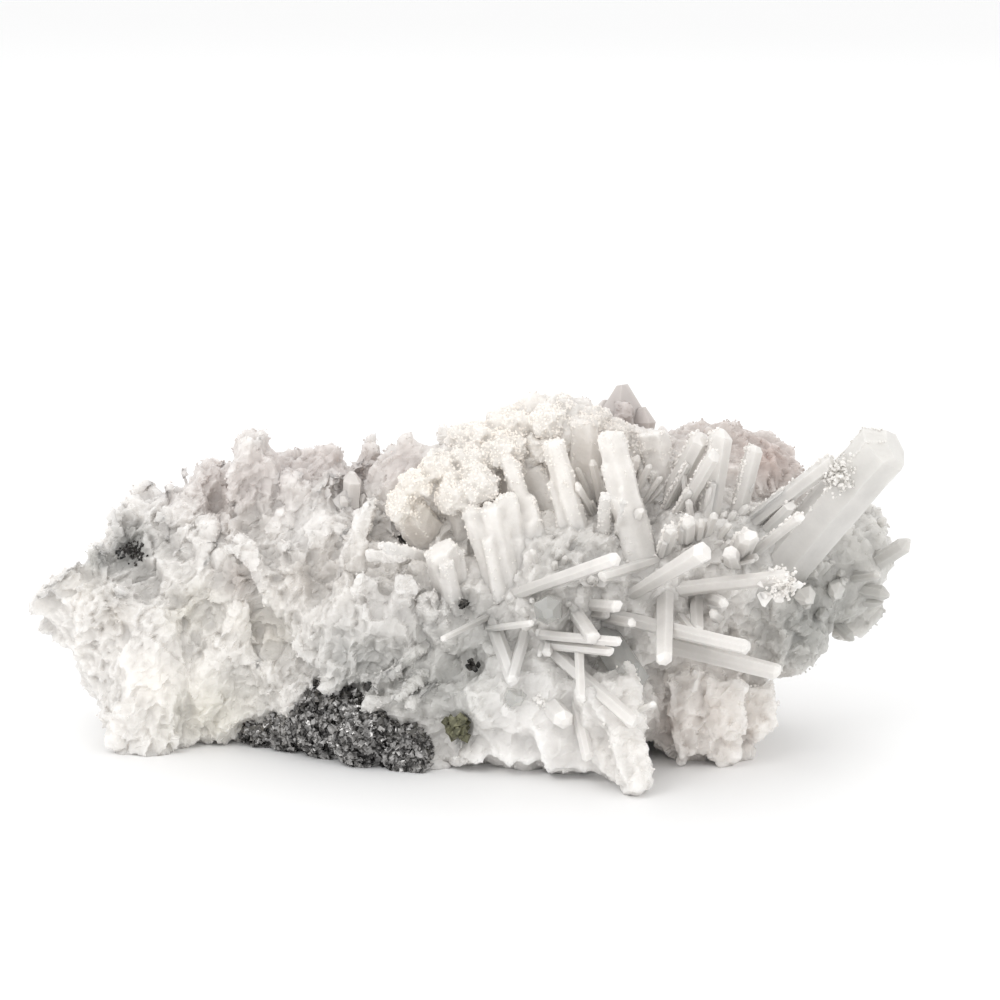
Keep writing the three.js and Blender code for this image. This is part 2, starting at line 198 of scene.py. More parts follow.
# Blunt lumps of the skyline: the one beside the crest, then those of the left half.
CREST_SHOULDER = [(-11.5, 15, 50, -12, 14, 62.5, 6.8, 1)]
SKYLINE = [
    (-4, 15, 50, -5.5, 14, 64, 2, 1),
    (-25, 20, 50, -19.5, 22, 61.5, 2.4, 1),
    (-27, 15, 46, -20.5, 18, 58.5, 6, 1),
    (-37, 20, 46, -27.5, 24, 58, 6.4, 1),
    (-42, 24, 42, -46, 28, 60.5, 6.4, 1),
    (-51, 24, 40, -53, 26, 54.5, 6, 1),
    (-48, 27, 42, -48.5, 30, 54.5, 5.6, 1),
    (-57, 20, 44, -59.5, 22, 54.5, 1.8, 1),
    (-60, 17, 40, -62.5, 18, 51.5, 6.4, 1),
    (-70, 13, 35, -72.5, 12, 47, 1.8, 1),
]
# Stubby crystals left of the crest.
CENTRE_CRYSTALS = [
    (-36.5, 12, 40, -35, 14, 55.5, 5.2, 1),
    (-25, 12, 41, -24, 10, 55, 4.8, 1),
]
# Broad striated bodies low on the crest's face.
CREST_BODIES = [
    (11, -10, 34, 7, -9, 55, 4.4, 1),
    (8, -11, 34, 3.5, -10, 53, 4.8, 1),
    (5, -10, 35, 0, -8, 52, 4.4, 1),
    (13, -9, 34, 12, -9, 50, 4, 1),
    (-1.5, -9, 32, -4, -10, 45, 3.6, 1.1),
    (-4.5, -9, 31, -7.5, -10, 44, 3.6, 1.1),
]
# Lumps of the crest's sugary cap: as MASS.
CAP = [
    (-14, -6, 52, 3.2, 3.5, 3.6),
    (-11, -4.5, 56, 4, 4, 3.6),
    (-6, -2, 59, 4.6, 4, 3.4),
    (0, -1, 60.5, 5, 4.5, 3.6),
    (6, 0, 61.5, 5, 4.5, 4),
    (1, 4, 64, 6, 5, 3.6),
    (8, 6, 66, 6, 5, 4),
    (15, 4, 67, 4.5, 5, 4),
    (18, 8, 68.5, 4, 4, 3),
    (24, 7, 66.5, 4, 4, 3),
    (29, 7, 64, 4, 4, 3.4),
    (34, 7, 61, 4, 4, 3.4),
    (40, 8, 57.5, 4, 4, 3.4),
    (30, 16, 59.5, 8, 7, 4),
    (12, 16, 65, 8, 7, 4),
    (1.5, -5.5, 55.5, 5, 4, 4.6),
    (-3.5, -5, 54, 4, 4, 4.6),
]
# Clear crystals low in the spray.
CLEAR_CRYSTALS = [
    (16.5, -8, 33, 15, -28, 35.5, 6, 1),
    (8, -12, 16, 9, -25, 17, 4.4, 1),
    (25.5, -8, 28, 33, -26, 19.5, 8, 1),
]
# Thick trunks within the left half.
TRUNKS = [
    (-46, 8, 13, -48.5, 3, 42, 10, 1),
    (-35, 6, 22, -47, 1, 43, 7, 1),
    (-62, 5, 6, -63, 1, 32, 11, 1),
    (-50, 10, 4, -52, -4, 20.5, 8, 1),
    (-43, 8, 7, -40, -5, 21, 8, 1),
    (-71, 10, 17, -74, 6, 38, 9, 1),
    (-77, 11, 24, -79, 5, 33, 6, 1),
    (-74, 12, 28, -89.5, 12, 29, 9, 1),
    (-76, 12, 25, -88, 11, 24.5, 8, 1),
    (-52, 13, 21, -57.5, 1, 36, 6, 1),
    (-37.5, 6, 20, -33, -5, 37.5, 7, 1),
    (-30.5, 2, 20, -30, -9, 33, 6, 1),
    (-30, 12, 38, -29, 10, 54, 6, 1),
    (-60, 6, 3, -71, 4, 2, 7, 1),
    (-41, 14, 36, -42, 6, 50, 8, 1),
    (-54, 14, 34, -56, 6, 45, 7, 1),
    (-66, 14, 32, -67, 8, 45, 7, 1),
]

# Broken slabs of the left half: foot, top, width, thickness and how far each turns to the right.
SLABS = [
    (-81.5, 7.5, 27, -89.5, 7.5, 29.5, 7, 4, -0.3),  # leftmost slab
    (-81.5, 11, 21.5, -88.5, 11, 23, 4.5, 4, -0.3),  # leftmost slab low
    (-83.5, 6.5, 29.5, -77.5, 8.5, 37, 8, 5, -0.3),  # slope
    (-76, 6.5, 32, -75, 9.5, 40.5, 7, 4, -0.2),  # slope top
    (-47.5, 1.5, 17, -46.5, 3.5, 31, 8, 5, 0),  # trunk 2
    (-34.5, 0.5, 26, -47, 1.5, 42.5, 7, 4, 0.1),  # diagonal sheet
    (-42.5, 8.5, 37.5, -49.5, 10.5, 45.5, 6, 4, 0),  # diagonal sheet top
    (-61, -2.5, 2, -60.5, -1.5, 13.5, 3, 3, -0.1),  # facet
    (-44, 13.5, 49, -44.5, 14.5, 62.5, 10, 7, 0),  # pink striated
    (-57, 7.5, 36, -53.5, 8.5, 45, 5, 3, -0.1),  # shell ridge
    (-39, 11, 41, -35, 14, 52.5, 9, 5, 0.1),  # roof a
    (-30, 10, 45.5, -27.5, 13, 55.5, 8, 5, 0.2),  # roof b
    (-45, 10.5, 43.5, -42.5, 13.5, 50.5, 7, 4, 0),  # roof c
    (-26, 2.5, 34.5, -20, 2.5, 51.5, 3, 3, 0.2),  # blade
    (-32, 2, 33, -31, 4, 45, 6.5, 5, 0.1),  # mid slab
    (-69, 14.5, 39.5, -70, 16.5, 46, 7, 5, -0.2),  # top left
    (-25, 16.5, 48.5, -22.5, 18.5, 56, 6, 5, 0.2),  # right roof
]
# Rounded swells of the left half: as SLABS.
SWELLS = [
    (-66, -0.5, 0, -62, 1.5, 29.5, 12, 7, -0.1),  # trunk 1
    (-71, 1.5, 2, -67.5, 3.5, 22, 7, 5, -0.2),  # trunk 1 left
    (-52, 2.5, 10, -49, 4.5, 22, 9, 5, 0),  # trunk 2 foot
    (-52, 2, 8.5, -53.5, 3, 19, 7, 6, 0),  # lobe a
    (-45.5, 3.5, 9.5, -47, 4.5, 19, 7, 6, 0),  # lobe b
    (-38.5, 1, 10.5, -39, 2, 20.5, 7, 5, 0.1),  # lobe c
    (-66, -0.5, -1.5, -66.5, 1.5, 7.5, 9.5, 7, -0.1),  # knob
    (-64, 20.5, 43.5, -64, 21.5, 51, 4.5, 5, -0.1),  # round lumps a
    (-60, 18, 44, -59.5, 19, 51, 4, 5, -0.1),  # round lumps b
    (-55.5, 16.5, 46, -55.5, 17.5, 55.5, 5, 6, -0.1),  # mauve a
    (-50.5, 20, 45, -51, 21, 54, 5, 6, 0),  # mauve b
    (-34, -5.5, 20.5, -28, -3.5, 32, 7, 5, 0.1),  # mid low a
    (-26, -10, 15, -23, -8, 29, 7, 5, 0.2),  # mid low b
    (-18.5, -11, 25.5, -19.5, -9, 38, 7.5, 6, 0.2),  # grey lump a
    (-11.5, -10, 23.5, -12.5, -8, 35, 7, 6, 0.3),  # grey lump b
    (-75.5, 5.5, 13.5, -77, 7.5, 29.5, 9, 5, -0.2),  # left mid
    (-73, 2, 6, -74.5, 4, 18, 7, 5, -0.2),  # left low
    (-57, 5, 2, -55.5, 8, 30, 10, 5, -0.1),  # recess wall
]
# Ragged blades that stand clear of the left half: as SLABS.
RAGGED = [
    (-27, -4, 31, -20.5, -8, 52, 4.2, 1.4, 0.3),
    (-25, -5, 35, -23.5, -7, 44, 6, 1.2, 0.1),
    (-20, -8, 42, -13.5, -12, 43, 2.6, 1.6, 0),
    (-71.5, 10, 42, -72.5, 9, 48.5, 2.2, 1.4, 0),
]
# How much smoother the mass is in its smooth places, and those: centre and radius.
CALM_SHARE = 0.6
CALM = [
    (16, -20, 8, 17),
    (-63, -1, 16, 9),
    (-47, 0, 27, 5),
    (-50, 0, 14, 7),
    (-86, 6, 28, 7),
    (-34, 6, 46, 6),
    (-45, 14, 58, 8),
    (-16, -12, 32, 7),
    (53, -10, 12, 4),
    (78, 6, 32, 12),
    (-45, 22, 57, 6),
    (-26, 20, 57, 6),
    (-13, 14, 60, 6),
]
# Hollows in the left half: centre, radius and depth.
RECESSES = [
    (-47, 1, 35, 3.5, 3),
    (-55.5, 0, 29.5, 5, 2.5),
    (-40, -2, 24, 4, 2.5),
    (-32, -4, 37.5, 5, 3),
    (-50, 14, 49, 4, 0.7),
    (-76, 4, 37, 3.5, 1.5),
    (-72, 2, 27, 3.5, 2),
    (-36, 8, 50, 3.5, 2),
    (-45, -1, 15, 3.5, 1.5),
    (-24, -6, 30, 4, 2),
]
# Low ribs that run down to the left through the grey quartz of the middle.
STREAKS = [
    (-3.5, -8, 27, -22, -15, 16.5, 3.6, 1),
    (1, -6, 26, -15.5, -17, 15, 3.2, 1),
    (-8, -7, 31, -26, -11, 22, 3.4, 1),
    (-2, -9, 22, -12, -17, 13.5, 2.6, 1),
    (-12, -8, 29, -30, -8, 20, 3, 1),
    (-20, -8, 30, -21, -13, 40, 6.4, 1.1),
    (-15.5, -8, 28, -13.5, -14, 38, 6.4, 1.1),
    (-9, -8, 26, -8, -14, 36, 5, 1.1),
]
# The pale foot and the lowest tip: as SLABS.
FOOT_SLABS = [
    (18, -14, 20, 20, -21, 1, 17, 9, 0),
    (8, -11, 18, 9, -16, 1, 16, 9, 0),
    (0, -11, 14, 0, -14.5, 1, 11, 8, -0.1),
    (26, -20, 22, 29, -28, 2, 13, 8, 0.1),
    (27, -24, 20, 33, -35, 1, 9, 6, 0.1),
    (43, -9, 19, 43, -12.5, 2, 7, 5, -0.2),
    (50, -10.5, 18, 51, -13, 6, 8, 5, 0.1),
    (56, -6, 16, 58, -8, 5, 8, 6, 0.3),
    (48, -10, 8, 52, -12, 1, 9, 5, 0.2),
]

# Sprays round the sides and back: root, aim, how many, spread, shortest, longest, thickest.
SIDE_SPRAYS = [
    (-62, 31, 24, -0.4, 1, 0.3, 7, 0.8, 9, 18, 4),
    (-42, 36, 14, -0.2, 1, 0, 6, 0.8, 8, 16, 4),
    (-24, 35, 34, 0.3, 1, 0.5, 7, 0.8, 9, 18, 4.6),
    (2, 36, 36, -0.3, 1, 0.6, 8, 0.8, 9, 18, 4.2),
    (14, 38, 16, 0.2, 1, 0.1, 6, 0.8, 8, 15, 4),
    (30, 33, 40, 0.1, 1, 0.5, 9, 0.8, 9, 20, 4.6),
    (54, 28, 30, 0.6, 1, 0.2, 7, 0.8, 9, 18, 4.4),
]

# Smaller crystals that fill the sprays: as SIDE_SPRAYS.
FILLING = [
    (16, -4, 30, 0.1, -0.7, 0.1, 60, 0.9, 12, 20, 2.4),
    (45, -2, 38, 0.35, -0.25, 0.7, 24, 0.6, 14, 22, 2.4),
    (72, 13, 34, 0.7, -0.8, 0, 18, 0.7, 6, 12, 4),
    (28, 2, 42, 0, -0.5, 1, 30, 0.5, 12, 20, 2.6),
    (62, 8, 36, 0.4, -0.7, 0.3, 18, 0.6, 8, 15, 3),
]

# Lumps of the galena seam: as MASS.
GALENA = [
    (-42, 8, 3, 4.5, 5, 3.6),
    (-35, 4, 5, 5.5, 6, 5),
    (-28, -1, 7.5, 6.5, 7, 7),
    (-20, -7, 6, 6.5, 7, 6.6),
    (-13, -11, 3.5, 5, 5, 4.6),
]

# Centre of the pyrite and half its size; centre of each sphalerite and half its three sizes.
# The last sphalerite is a smear, which reaches SMEAR_SPREAD in x, y, z and no further back than
# SMEAR_BACK.
PYRITE = (-2.9, -17.7, 9.8, 2.4)
SPHALERITE = [
    (-20.6, -15.4, 17.6, 1.4, 1.6, 1.4),
    (-1.4, -12.5, 33.6, 1.5, 1.8, 1.5),
    (0.6, -14, 21.5, 1.7, 1.8, 1.5),
    (-69, 7, 39, 5, 4, 3),
]
SMEAR_SPREAD = (2, 5, 1.3)
SMEAR_BACK = 14
# How far the quartz lies back round each of them, and how much wider than it that place is.
SEAT_DEPTH = 2.2
SEAT_MARGIN = 2

# An icy clump at the end of the spray, and the spread and number of its pieces.
ICY_CLUMP = (60, -23.5, 40)
ICY_SPREAD = (1.8, 1.2, 1.6)
ICY_PIECES = 16
# Tufts of druse, on a long crystal of the spray and on the great prism: centre, spread, grains.
TUFTS = [
    (61, -24, 40.5, 1.3, 200),
    (72.5, -12.5, 59.5, 1.7, 300),
]
# A sparkling line across the pale foot, from end to end.
FOOT_LINE = ((12.8, -22, 16.8), (18.8, -23, 11.5))

# Corners of a crystal's outline, strips on each of its sides and rings along it, unless told.
CORNERS = 6
STRIPS = 3
RINGS = 9
# How deep the grooves between the strips are, as a share of the width.
GROOVE_DEPTH = 0.022
# The ridges of the mass: how far apart, how they are stretched and how high they are.
RIDGE_SIZE = 13
RIDGE_STRETCH = (1, 1, 0.6)
RIDGE_HEIGHT = 1.6
# How the mass is broken, coarse to fine: cell, hollow, slope, step, stretch and whether torn.
BREAKS = [
    (6, 0.3, 0.55, 0.6, (1, 1, 0.8), False),
    (3.4, 0.1, 0.35, 0.25, (1, 1, 1), True),
    (1.5, 0.1, 0.3, 0.1, (1, 1, 1), True),
]
# The same for the whole crest, for its cap alone and for the galena.
CREST_BREAK = (3, 0.15, 0.15, 0.05, (1, 1, 0.3), False)
CAP_BREAKS = [
    (2.4, 0.4, 0.4, 0.1, (1, 1, 1), False),
    (1, 0.5, 0.4, 0.05, (1, 1, 1), False),
]
GALENA_BREAK = (2, 0.6, 0.6, 0.2, (1, 1, 1), False)

# How many grains or pieces each crust has.
FROST_GRAINS = 5000
CAP_GRAINS = 6000
RIM_GRAINS = 3000
EDGE_GRAINS = 2200
LINE_GRAINS = 150
GALENA_GRAINS = 5000
PYRITE_GRAINS = 60
SMEAR_GRAINS = 170
BLENDE_PIECES = 9

# The random numbers are drawn in the order in which the parts are built.
SEED = 11

# ---- colours, with painted light and shade: where (x, y, z, radius), colour and strength ---------

WHITE = (0.80, 0.775, 0.745)
COLOURS_AND_PAINTED_LIGHT = [
    ((10, 0, 62, 18), (0.92, 0.87, 0.81), 0.85),  # creamy crest
    ((-12, -5, 53, 9), (0.93, 0.87, 0.79), 0.85),
    ((26, 4, 62, 7), (0.72, 0.67, 0.62), 0.7),
    ((-35, 20, 55, 13), (0.57, 0.51, 0.49), 0.9),  # mauve brown, left skyline
    ((-46, 13, 52, 8), (0.60, 0.54, 0.52), 0.85),
    ((-54, 22, 52, 9), (0.60, 0.54, 0.52), 0.7),
    ((-24, 18, 56, 7), (0.55, 0.49, 0.47), 0.85),
    ((-14, 10, 57, 7), (0.56, 0.50, 0.48), 0.9),
    ((-31, -3, 39, 9), (0.52, 0.48, 0.44), 0.9),  # painted shade: grey brown in the hollows of the left half
    ((-47, 2, 35, 4), (0.48, 0.42, 0.38), 0.95),
    ((-40, -1, 23.5, 4), (0.56, 0.53, 0.47), 0.85),
    ((-72, 2, 27, 3), (0.66, 0.62, 0.57), 0.8),
    ((-50, 15, 48.5, 5), (0.52, 0.46, 0.43), 0.85),
    # painted light on the trunks and smooth faces of the left half
    ((-63, -2, 15, 6), (0.90, 0.86, 0.81), 0.7),
    ((-47, -1, 27, 5), (0.93, 0.90, 0.86), 0.85),
    ((-34, 5, 46, 7), (0.90, 0.88, 0.86), 0.8),
    # greyer places of the left half, partly painted shade round its recesses
    ((-45, 11, 45, 5), (0.58, 0.55, 0.52), 0.8),
    ((-63, 19, 48, 7), (0.68, 0.65, 0.63), 0.8),
    ((-78, 4, 34, 6), (0.66, 0.63, 0.59), 0.8),
    ((-41, 2, 14, 6), (0.56, 0.54, 0.51), 0.8),
    ((-26, -9, 21, 6), (0.56, 0.54, 0.52), 0.8),
    ((31, 23, 65, 10), (0.42, 0.37, 0.36), 0.95),
    ((60, 18, 58, 12), (0.44, 0.35, 0.32), 0.95),
    ((60, 14, 57, 6), (0.42, 0.29, 0.25), 0.85),
    ((46, 20, 60, 14), (0.50, 0.44, 0.41), 0.9),
    ((48, -4, 9, 14), (0.82, 0.75, 0.70), 0.85),  # lump at the lower right
    ((41.5, -10, 7, 4), (0.42, 0.35, 0.31), 0.85),
    # painted highlight on the front top of the lump
    ((53, -11, 11, 5), (0.92, 0.87, 0.82), 0.8),
    ((78, 10, 32, 22), (0.55, 0.54, 0.51), 0.9),  # grey green, right end
    ((66, 0, 27, 11), (0.34, 0.34, 0.32), 0.9),
    ((77, 2, 23, 8), (0.38, 0.38, 0.36), 0.8),
    ((56, -7, 45, 6), (0.56, 0.55, 0.53), 0.8),
    ((70, -4, 52, 10), (0.72, 0.71, 0.69), 0.6),
    ((80, -10, 64, 10), (0.66, 0.65, 0.62), 0.7),
    ((-8, -12, 18, 11), (0.36, 0.36, 0.34), 0.85),  # grey, lower middle
    ((2, -14, 25, 9), (0.38, 0.38, 0.36), 0.85),
    ((-22, -8, 20, 10), (0.52, 0.52, 0.50), 0.75),
    ((-16, -16, 34, 7), (0.64, 0.62, 0.60), 0.85),
    ((-22, -12, 52, 5), (0.72, 0.70, 0.68), 0.7),
    ((-4, -8, 30, 7), (0.50, 0.49, 0.47), 0.7),
    ((20, -10, 40, 9), (0.42, 0.41, 0.39), 0.9),  # grey roots of the sprays
    ((28, -6, 31, 14), (0.56, 0.55, 0.53), 0.8),
    ((36, 0, 46, 8), (0.52, 0.50, 0.48), 0.8),
    ((-55.5, 0, 29, 5), (0.56, 0.53, 0.44), 0.85),  # khaki, darkened as painted shade in the recesses
    ((-42, 0, 26, 5), (0.60, 0.56, 0.49), 0.7),
    ((12, -22, 20, 10), (0.84, 0.83, 0.81), 0.8),
    ((14, -21, 5, 12), (0.92, 0.90, 0.88), 0.8),
    ((-1, -17, 13, 7), (0.54, 0.54, 0.52), 0.6),
    ((-52, -2, 7, 9), (0.76, 0.73, 0.64), 0.75),
    ((-69, 10, 39.5, 6), (0.20, 0.20, 0.19), 0.9),  # dark smear of sphalerite
    ((-76, 7, 38, 2.5), (0.34, 0.34, 0.32), 0.8),
    ((0, 62, 20, 60), (0.66, 0.63, 0.60), 0.8),  # duller on the back
    ((-52, 44, 20, 16), (0.50, 0.46, 0.43), 0.8),
    ((-14, 46, 12, 15), (0.44, 0.43, 0.41), 0.75),
    ((22, 46, 30, 11), (0.74, 0.68, 0.62), 0.7),
    ((44, 42, 14, 14), (0.44, 0.39, 0.36), 0.8),
    ((-34, 42, 36, 9), (0.76, 0.71, 0.66), 0.6),
    ((0, 36, 50, 12), (0.60, 0.55, 0.51), 0.7),
]

# ---- helpers -------------------------------------------------------------------------------------


def linked(name, data):
    """An object in the scene, from a mesh, a lamp or a camera."""
    made = bpy.data.objects.new(name, data)
    bpy.context.scene.collection.objects.link(made)
    return made


def new_object(name, vertices, faces, material, nodes=("quartz_cluster",), tints=None):
    """A piece that rides on the part's body and stands for some of its nodes."""
    mesh = bpy.data.meshes.new(name)
    mesh.from_pydata(within(np.array(vertices)).tolist(), [], faces)
    mesh.update()
    if tints is not None:
        colours = mesh.color_attributes.new("tint", "FLOAT_COLOR", "POINT")
        values = np.ones((len(vertices), 4), dtype=np.float32)
        values[:, :3] = tints
        colours.data.foreach_set("color", values.ravel())
    mesh.materials.append(material)
    piece = linked(name, mesh)
    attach(piece, "root")
    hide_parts(*nodes)


def nearness(points, place, radius):
    """1 at a place, falling to 0 around it; the place and the radius are in mm."""
    distance = np.linalg.norm(points / MM - np.array(place), axis=1)
    return np.exp(-((distance / radius) ** 2))


def tint_at(points):
    """The quartz's colour at points given in metres, with painted light and shade in some places.
    """
    total = np.tile(np.array(WHITE), (len(points), 1))
    for (x, y, z, radius), colour, strength in COLOURS_AND_PAINTED_LIGHT:
        share = strength * nearness(points, (x, y, z), radius)[:, None]
        total = total * (1 - share) + np.array(colour) * share
    return total


def smoothed(points, triangles, rounds):
    """Points moved to the mean of their neighbours, a number of times."""
    pairs = np.concatenate([triangles[:, (0, 1)], triangles[:, (1, 2)], triangles[:, (2, 0)]])
    pairs = np.concatenate([pairs, pairs[:, ::-1]])
    count = np.maximum(np.bincount(pairs[:, 0], minlength=len(points)), 1)
    for _ in range(rounds):
        sums = [
            np.bincount(pairs[:, 0], weights=points[pairs[:, 1], axis], minlength=len(points))
            for axis in range(3)
        ]
        points = np.stack(sums, axis=1) / count[:, None]
    return points


def relief(points, normals, triangles, rounds=25):
    """How far each point stands out of the smoothed skin: 1 on crests, -1 in hollows."""
    height = np.einsum("ij,ij->i", points - smoothed(points, triangles, rounds), normals)
    return np.clip(height / (2 * height.std()), -1, 1)


def painted_relief_light(tints, stands):
    """Painted light and shade: thin crests whiter, as light glows through translucent quartz, deep
    hollows greyer, as painted shade.
    """
    return np.clip(tints * (1 + np.where(stands > 0, 0.06, 0.1) * stands)[:, None], 0, 0.95)


def within(points):
    """Points held inside the solid model's box."""
    return np.clip(points, np.array(cad_box[0]), np.array(cad_box[1]))


def unit(vectors):
    """Vectors of length 1."""
    return vectors / np.maximum(np.linalg.norm(vectors, axis=-1, keepdims=True), 1e-12)


def frames(axes, rng):
    """Two unit vectors across each axis, turned at random."""
    helper = np.where(np.abs(axes[:, 2:3]) < 0.9, [[0.0, 0.0, 1.0]], [[1.0, 0.0, 0.0]])
    across = unit(np.cross(axes, helper))
    other = np.cross(axes, across)
    angle = rng.uniform(0, 2 * math.pi, (len(axes), 1))
    return (
        across * np.cos(angle) + other * np.sin(angle),
        other * np.cos(angle) - across * np.sin(angle),
    )


def repeated(faces, count, size):
    """The same faces for each of count shells of size points."""
    faces = np.array(faces)
    base = np.arange(count)[:, None, None] * size
    return (faces[None] + base).reshape(-1, faces.shape[1]).tolist()


def ring_faces(count, rings, around):
    """Walls and end fans of closed lofts, each of rings loops, a foot point and a tip point."""
    size = rings * around + 2
    walls = []
    for ring in range(rings - 1):
        for i in range(around):
            j = (i + 1) % around
            low, high = ring * around, (ring + 1) * around
            walls.append((low + i, low + j, high + j, high + i))
    ends = []
    foot, tip, top = rings * around, rings * around + 1, (rings - 1) * around
    for i in range(around):
        j = (i + 1) % around
        ends.append((foot, j, i))
        ends.append((tip, top + i, top + j))
    return repeated(walls, count, size) + repeated(ends, count, size)


def sections(count, corners, strips, uneven, slab, rng):
    """Outlines across many crystals: x and y of the points of uneven, grooved polygons."""
    turn = 2 * math.pi / corners
    angle = turn * np.arange(corners)[None] + rng.uniform(-1, 1, (count, corners)) * 2 * uneven
    reach = 1 + uneven * rng.uniform(-1, 1, (count, corners))
    flat = 1 - slab * rng.uniform(0, 1, (count, 1))
    depth = 1 + GROOVE_DEPTH * rng.uniform(-1, 1, (count, corners, strips))
    steps = np.arange(strips) / strips
    outlines = []
    for corner in (reach * np.cos(angle), reach * np.sin(angle) * flat):
        following = np.roll(corner, -1, axis=1)
        points = corner[..., None] * (1 - steps) + following[..., None] * steps
        outlines.append((points * depth).reshape(count, 1, -1))
    return outlines


def crystals(
    rows, rng, corners=CORNERS, strips=STRIPS, rings=RINGS, point=0.45, blunt=0.4, uneven=0.08,
    slab=0.12, wander=0.02, facing=None,
):
    """Many crystals, each a closed loft: rows of foot, tip, width, share at the foot, in mm.

    point is the tip's length in widths, blunt the width left at its end, uneven how far the
    corners stray, slab how much flatter than round the section is at most, wander how far the
    sides stray and facing where the flat side looks."""
    rows = np.array(rows, dtype=float)
    count = len(rows)
    foot, tip = rows[:, 0:3] * MM, rows[:, 3:6] * MM
    radius = rows[:, 6:7] / 2 * MM
    taper = rows[:, 7:8]
    length = np.linalg.norm(tip - foot, axis=1, keepdims=True)
    axis = (tip - foot) / length
    across, other = frames(axis, rng)
    if facing is not None:
        across = unit(np.cross(axis, facing) + 0.15 * rng.normal(0, 1, axis.shape))
        across = unit(across - axis * np.einsum("ij,ij->i", across, axis)[:, None])
        other = np.cross(axis, across)
    outline_x, outline_y = sections(count, corners, strips, uneven, slab, rng)
    # how far along and how wide each ring is
    end = np.clip(point * 2 * radius / length, 0.02, 0.6)
    below = np.linspace(0, 1, rings - 1)
    along = np.concatenate([below[None] * (1 - end), np.ones((count, 1))], axis=1)
    body = taper + (1 - taper) * below[None]
    body = body * (1 + wander * rng.uniform(-1, 1, (count, len(below))))
    size = np.concatenate([body, blunt * rng.uniform(0.6, 1.3, (count, 1))], axis=1)
    # the tip leans to one side, the sides wander, and the end is cut aslant
    at_tip = np.zeros(rings)
    at_tip[-1] = 1
    lean = rng.uniform(-0.3, 0.3, (count, 1, 2)) * at_tip[None, :, None]
    drift = lean + wander * rng.uniform(-1, 1, (count, rings, 2))
    slant = rng.uniform(-0.45, 0.45, (count, 1, 2)) * (0.35 + 0.65 * at_tip)[None, :, None]
    slant[:, : rings - 2] = 0
    local_x = size[..., None] * outline_x + drift[:, :, 0:1]
    local_y = size[..., None] * outline_y + drift[:, :, 1:2]
    rise = slant[:, :, 0:1] * local_x + slant[:, :, 1:2] * local_y
    reach = radius[..., None]
    loops = (
        foot[:, None, None]
        + axis[:, None, None] * ((along * length)[..., None] + rise * reach)[..., None]
        + across[:, None, None] * (local_x * reach)[..., None]
        + other[:, None, None] * (local_y * reach)[..., None]
    )
    summit = loops[:, -1].mean(axis=1, keepdims=True)
    vertices = np.concatenate([loops.reshape(count, -1, 3), foot[:, None], summit], axis=1)
    return vertices.reshape(-1, 3), ring_faces(count, rings, around=corners * strips)


def sheets(rows, rng, around=18):
    """Broken slabs with ragged edges: rows of foot, top, width, thickness, facing, in mm."""
    rows = np.array(rows, dtype=float)
    count = len(rows)
    foot, top = rows[:, 0:3] * MM, rows[:, 3:6] * MM
    width, thick, facing = rows[:, 6:7] * MM, rows[:, 7:8] * MM, rows[:, 8:11]
    up = (top - foot) / 2
    across = unit(np.cross(up, facing)) * width / 2
    out = unit(np.cross(across, up))
    middle = (foot + top) / 2
    angle = 2 * math.pi * np.arange(around)[None] / around
    rag = 1 + 0.065 * rng.normal(0, 1, (count, around))
    square = np.maximum(np.abs(np.cos(angle)), np.abs(np.sin(angle))) ** -0.8
    outline_t = np.sin(angle) * square * rag
    outline_s = np.cos(angle) * square * rag * (0.85 - 0.25 * outline_t)
    edge = (
        middle[:, None]
        + across[:, None] * outline_s[..., None]
        + up[:, None] * outline_t[..., None]
    )
    tilt = rng.uniform(-0.3, 0.3, (count, 1)) * outline_t
    tilt += rng.uniform(-0.2, 0.2, (count, 1)) * outline_s
    loops = [
        edge + out[:, None] * ((side * 0.5 + tilt) * thick)[..., None] for side in (1, -1)
    ]
    front, back = (middle + out * thick * side for side in (0.6, -0.6))
    vertices = np.concatenate([*loops, front[:, None], back[:, None]], axis=1)
    quads, ends = [], []
    for i in range(around):
        j = (i + 1) % around
        quads.append((around + i, around + j, j, i))
        ends.append((i, j, 2 * around))
        ends.append((around + j, around + i, 2 * around + 1))
    size = 2 * around + 2
    return vertices.reshape(-1, 3), repeated(quads, count, size) + repeated(ends, count, size)


def joined(parts):
    """Several (vertices, faces) as one."""
    vertices, faces, start = [], [], 0
    for some_vertices, some_faces in parts:
        vertices.append(some_vertices)
        faces.extend([tuple(i + start for i in face) for face in some_faces])
        start += len(some_vertices)
    return np.concatenate(vertices), faces


def turned(count, rng):
    """Rotation matrices that turn things at random."""
    w, x, y, z = unit(rng.normal(0, 1, (count, 4))).T
    return np.stack(
        [
            1 - 2 * (y * y + z * z), 2 * (x * y - w * z), 2 * (x * z + w * y),
            2 * (x * y + w * z), 1 - 2 * (x * x + z * z), 2 * (y * z - w * x),
            2 * (x * z - w * y), 2 * (y * z + w * x), 1 - 2 * (x * x + y * y),
        ],
        axis=1,
    ).reshape(count, 3, 3)


def chunk_kinds(count, corners, rng):
    """A few broken shapes, each the convex hull of points round a ball."""
    kinds = []
    for _ in range(count):
        built = bmesh.new()
        for spot in unit(rng.normal(0, 1, (corners, 3))) * rng.uniform(0.8, 1.0, (corners, 1)):
            built.verts.new(spot)
        bmesh.ops.convex_hull(built, input=built.verts[:])
        loose = [v for v in built.verts if not v.link_faces]
        bmesh.ops.delete(built, geom=loose, context="VERTS")
        built.verts.index_update()
        points = np.array([v.co[:] for v in built.verts])
        faces = np.array([[v.index for v in face.verts] for face in built.faces])
        built.free()
        kinds.append((points, faces))
    return kinds


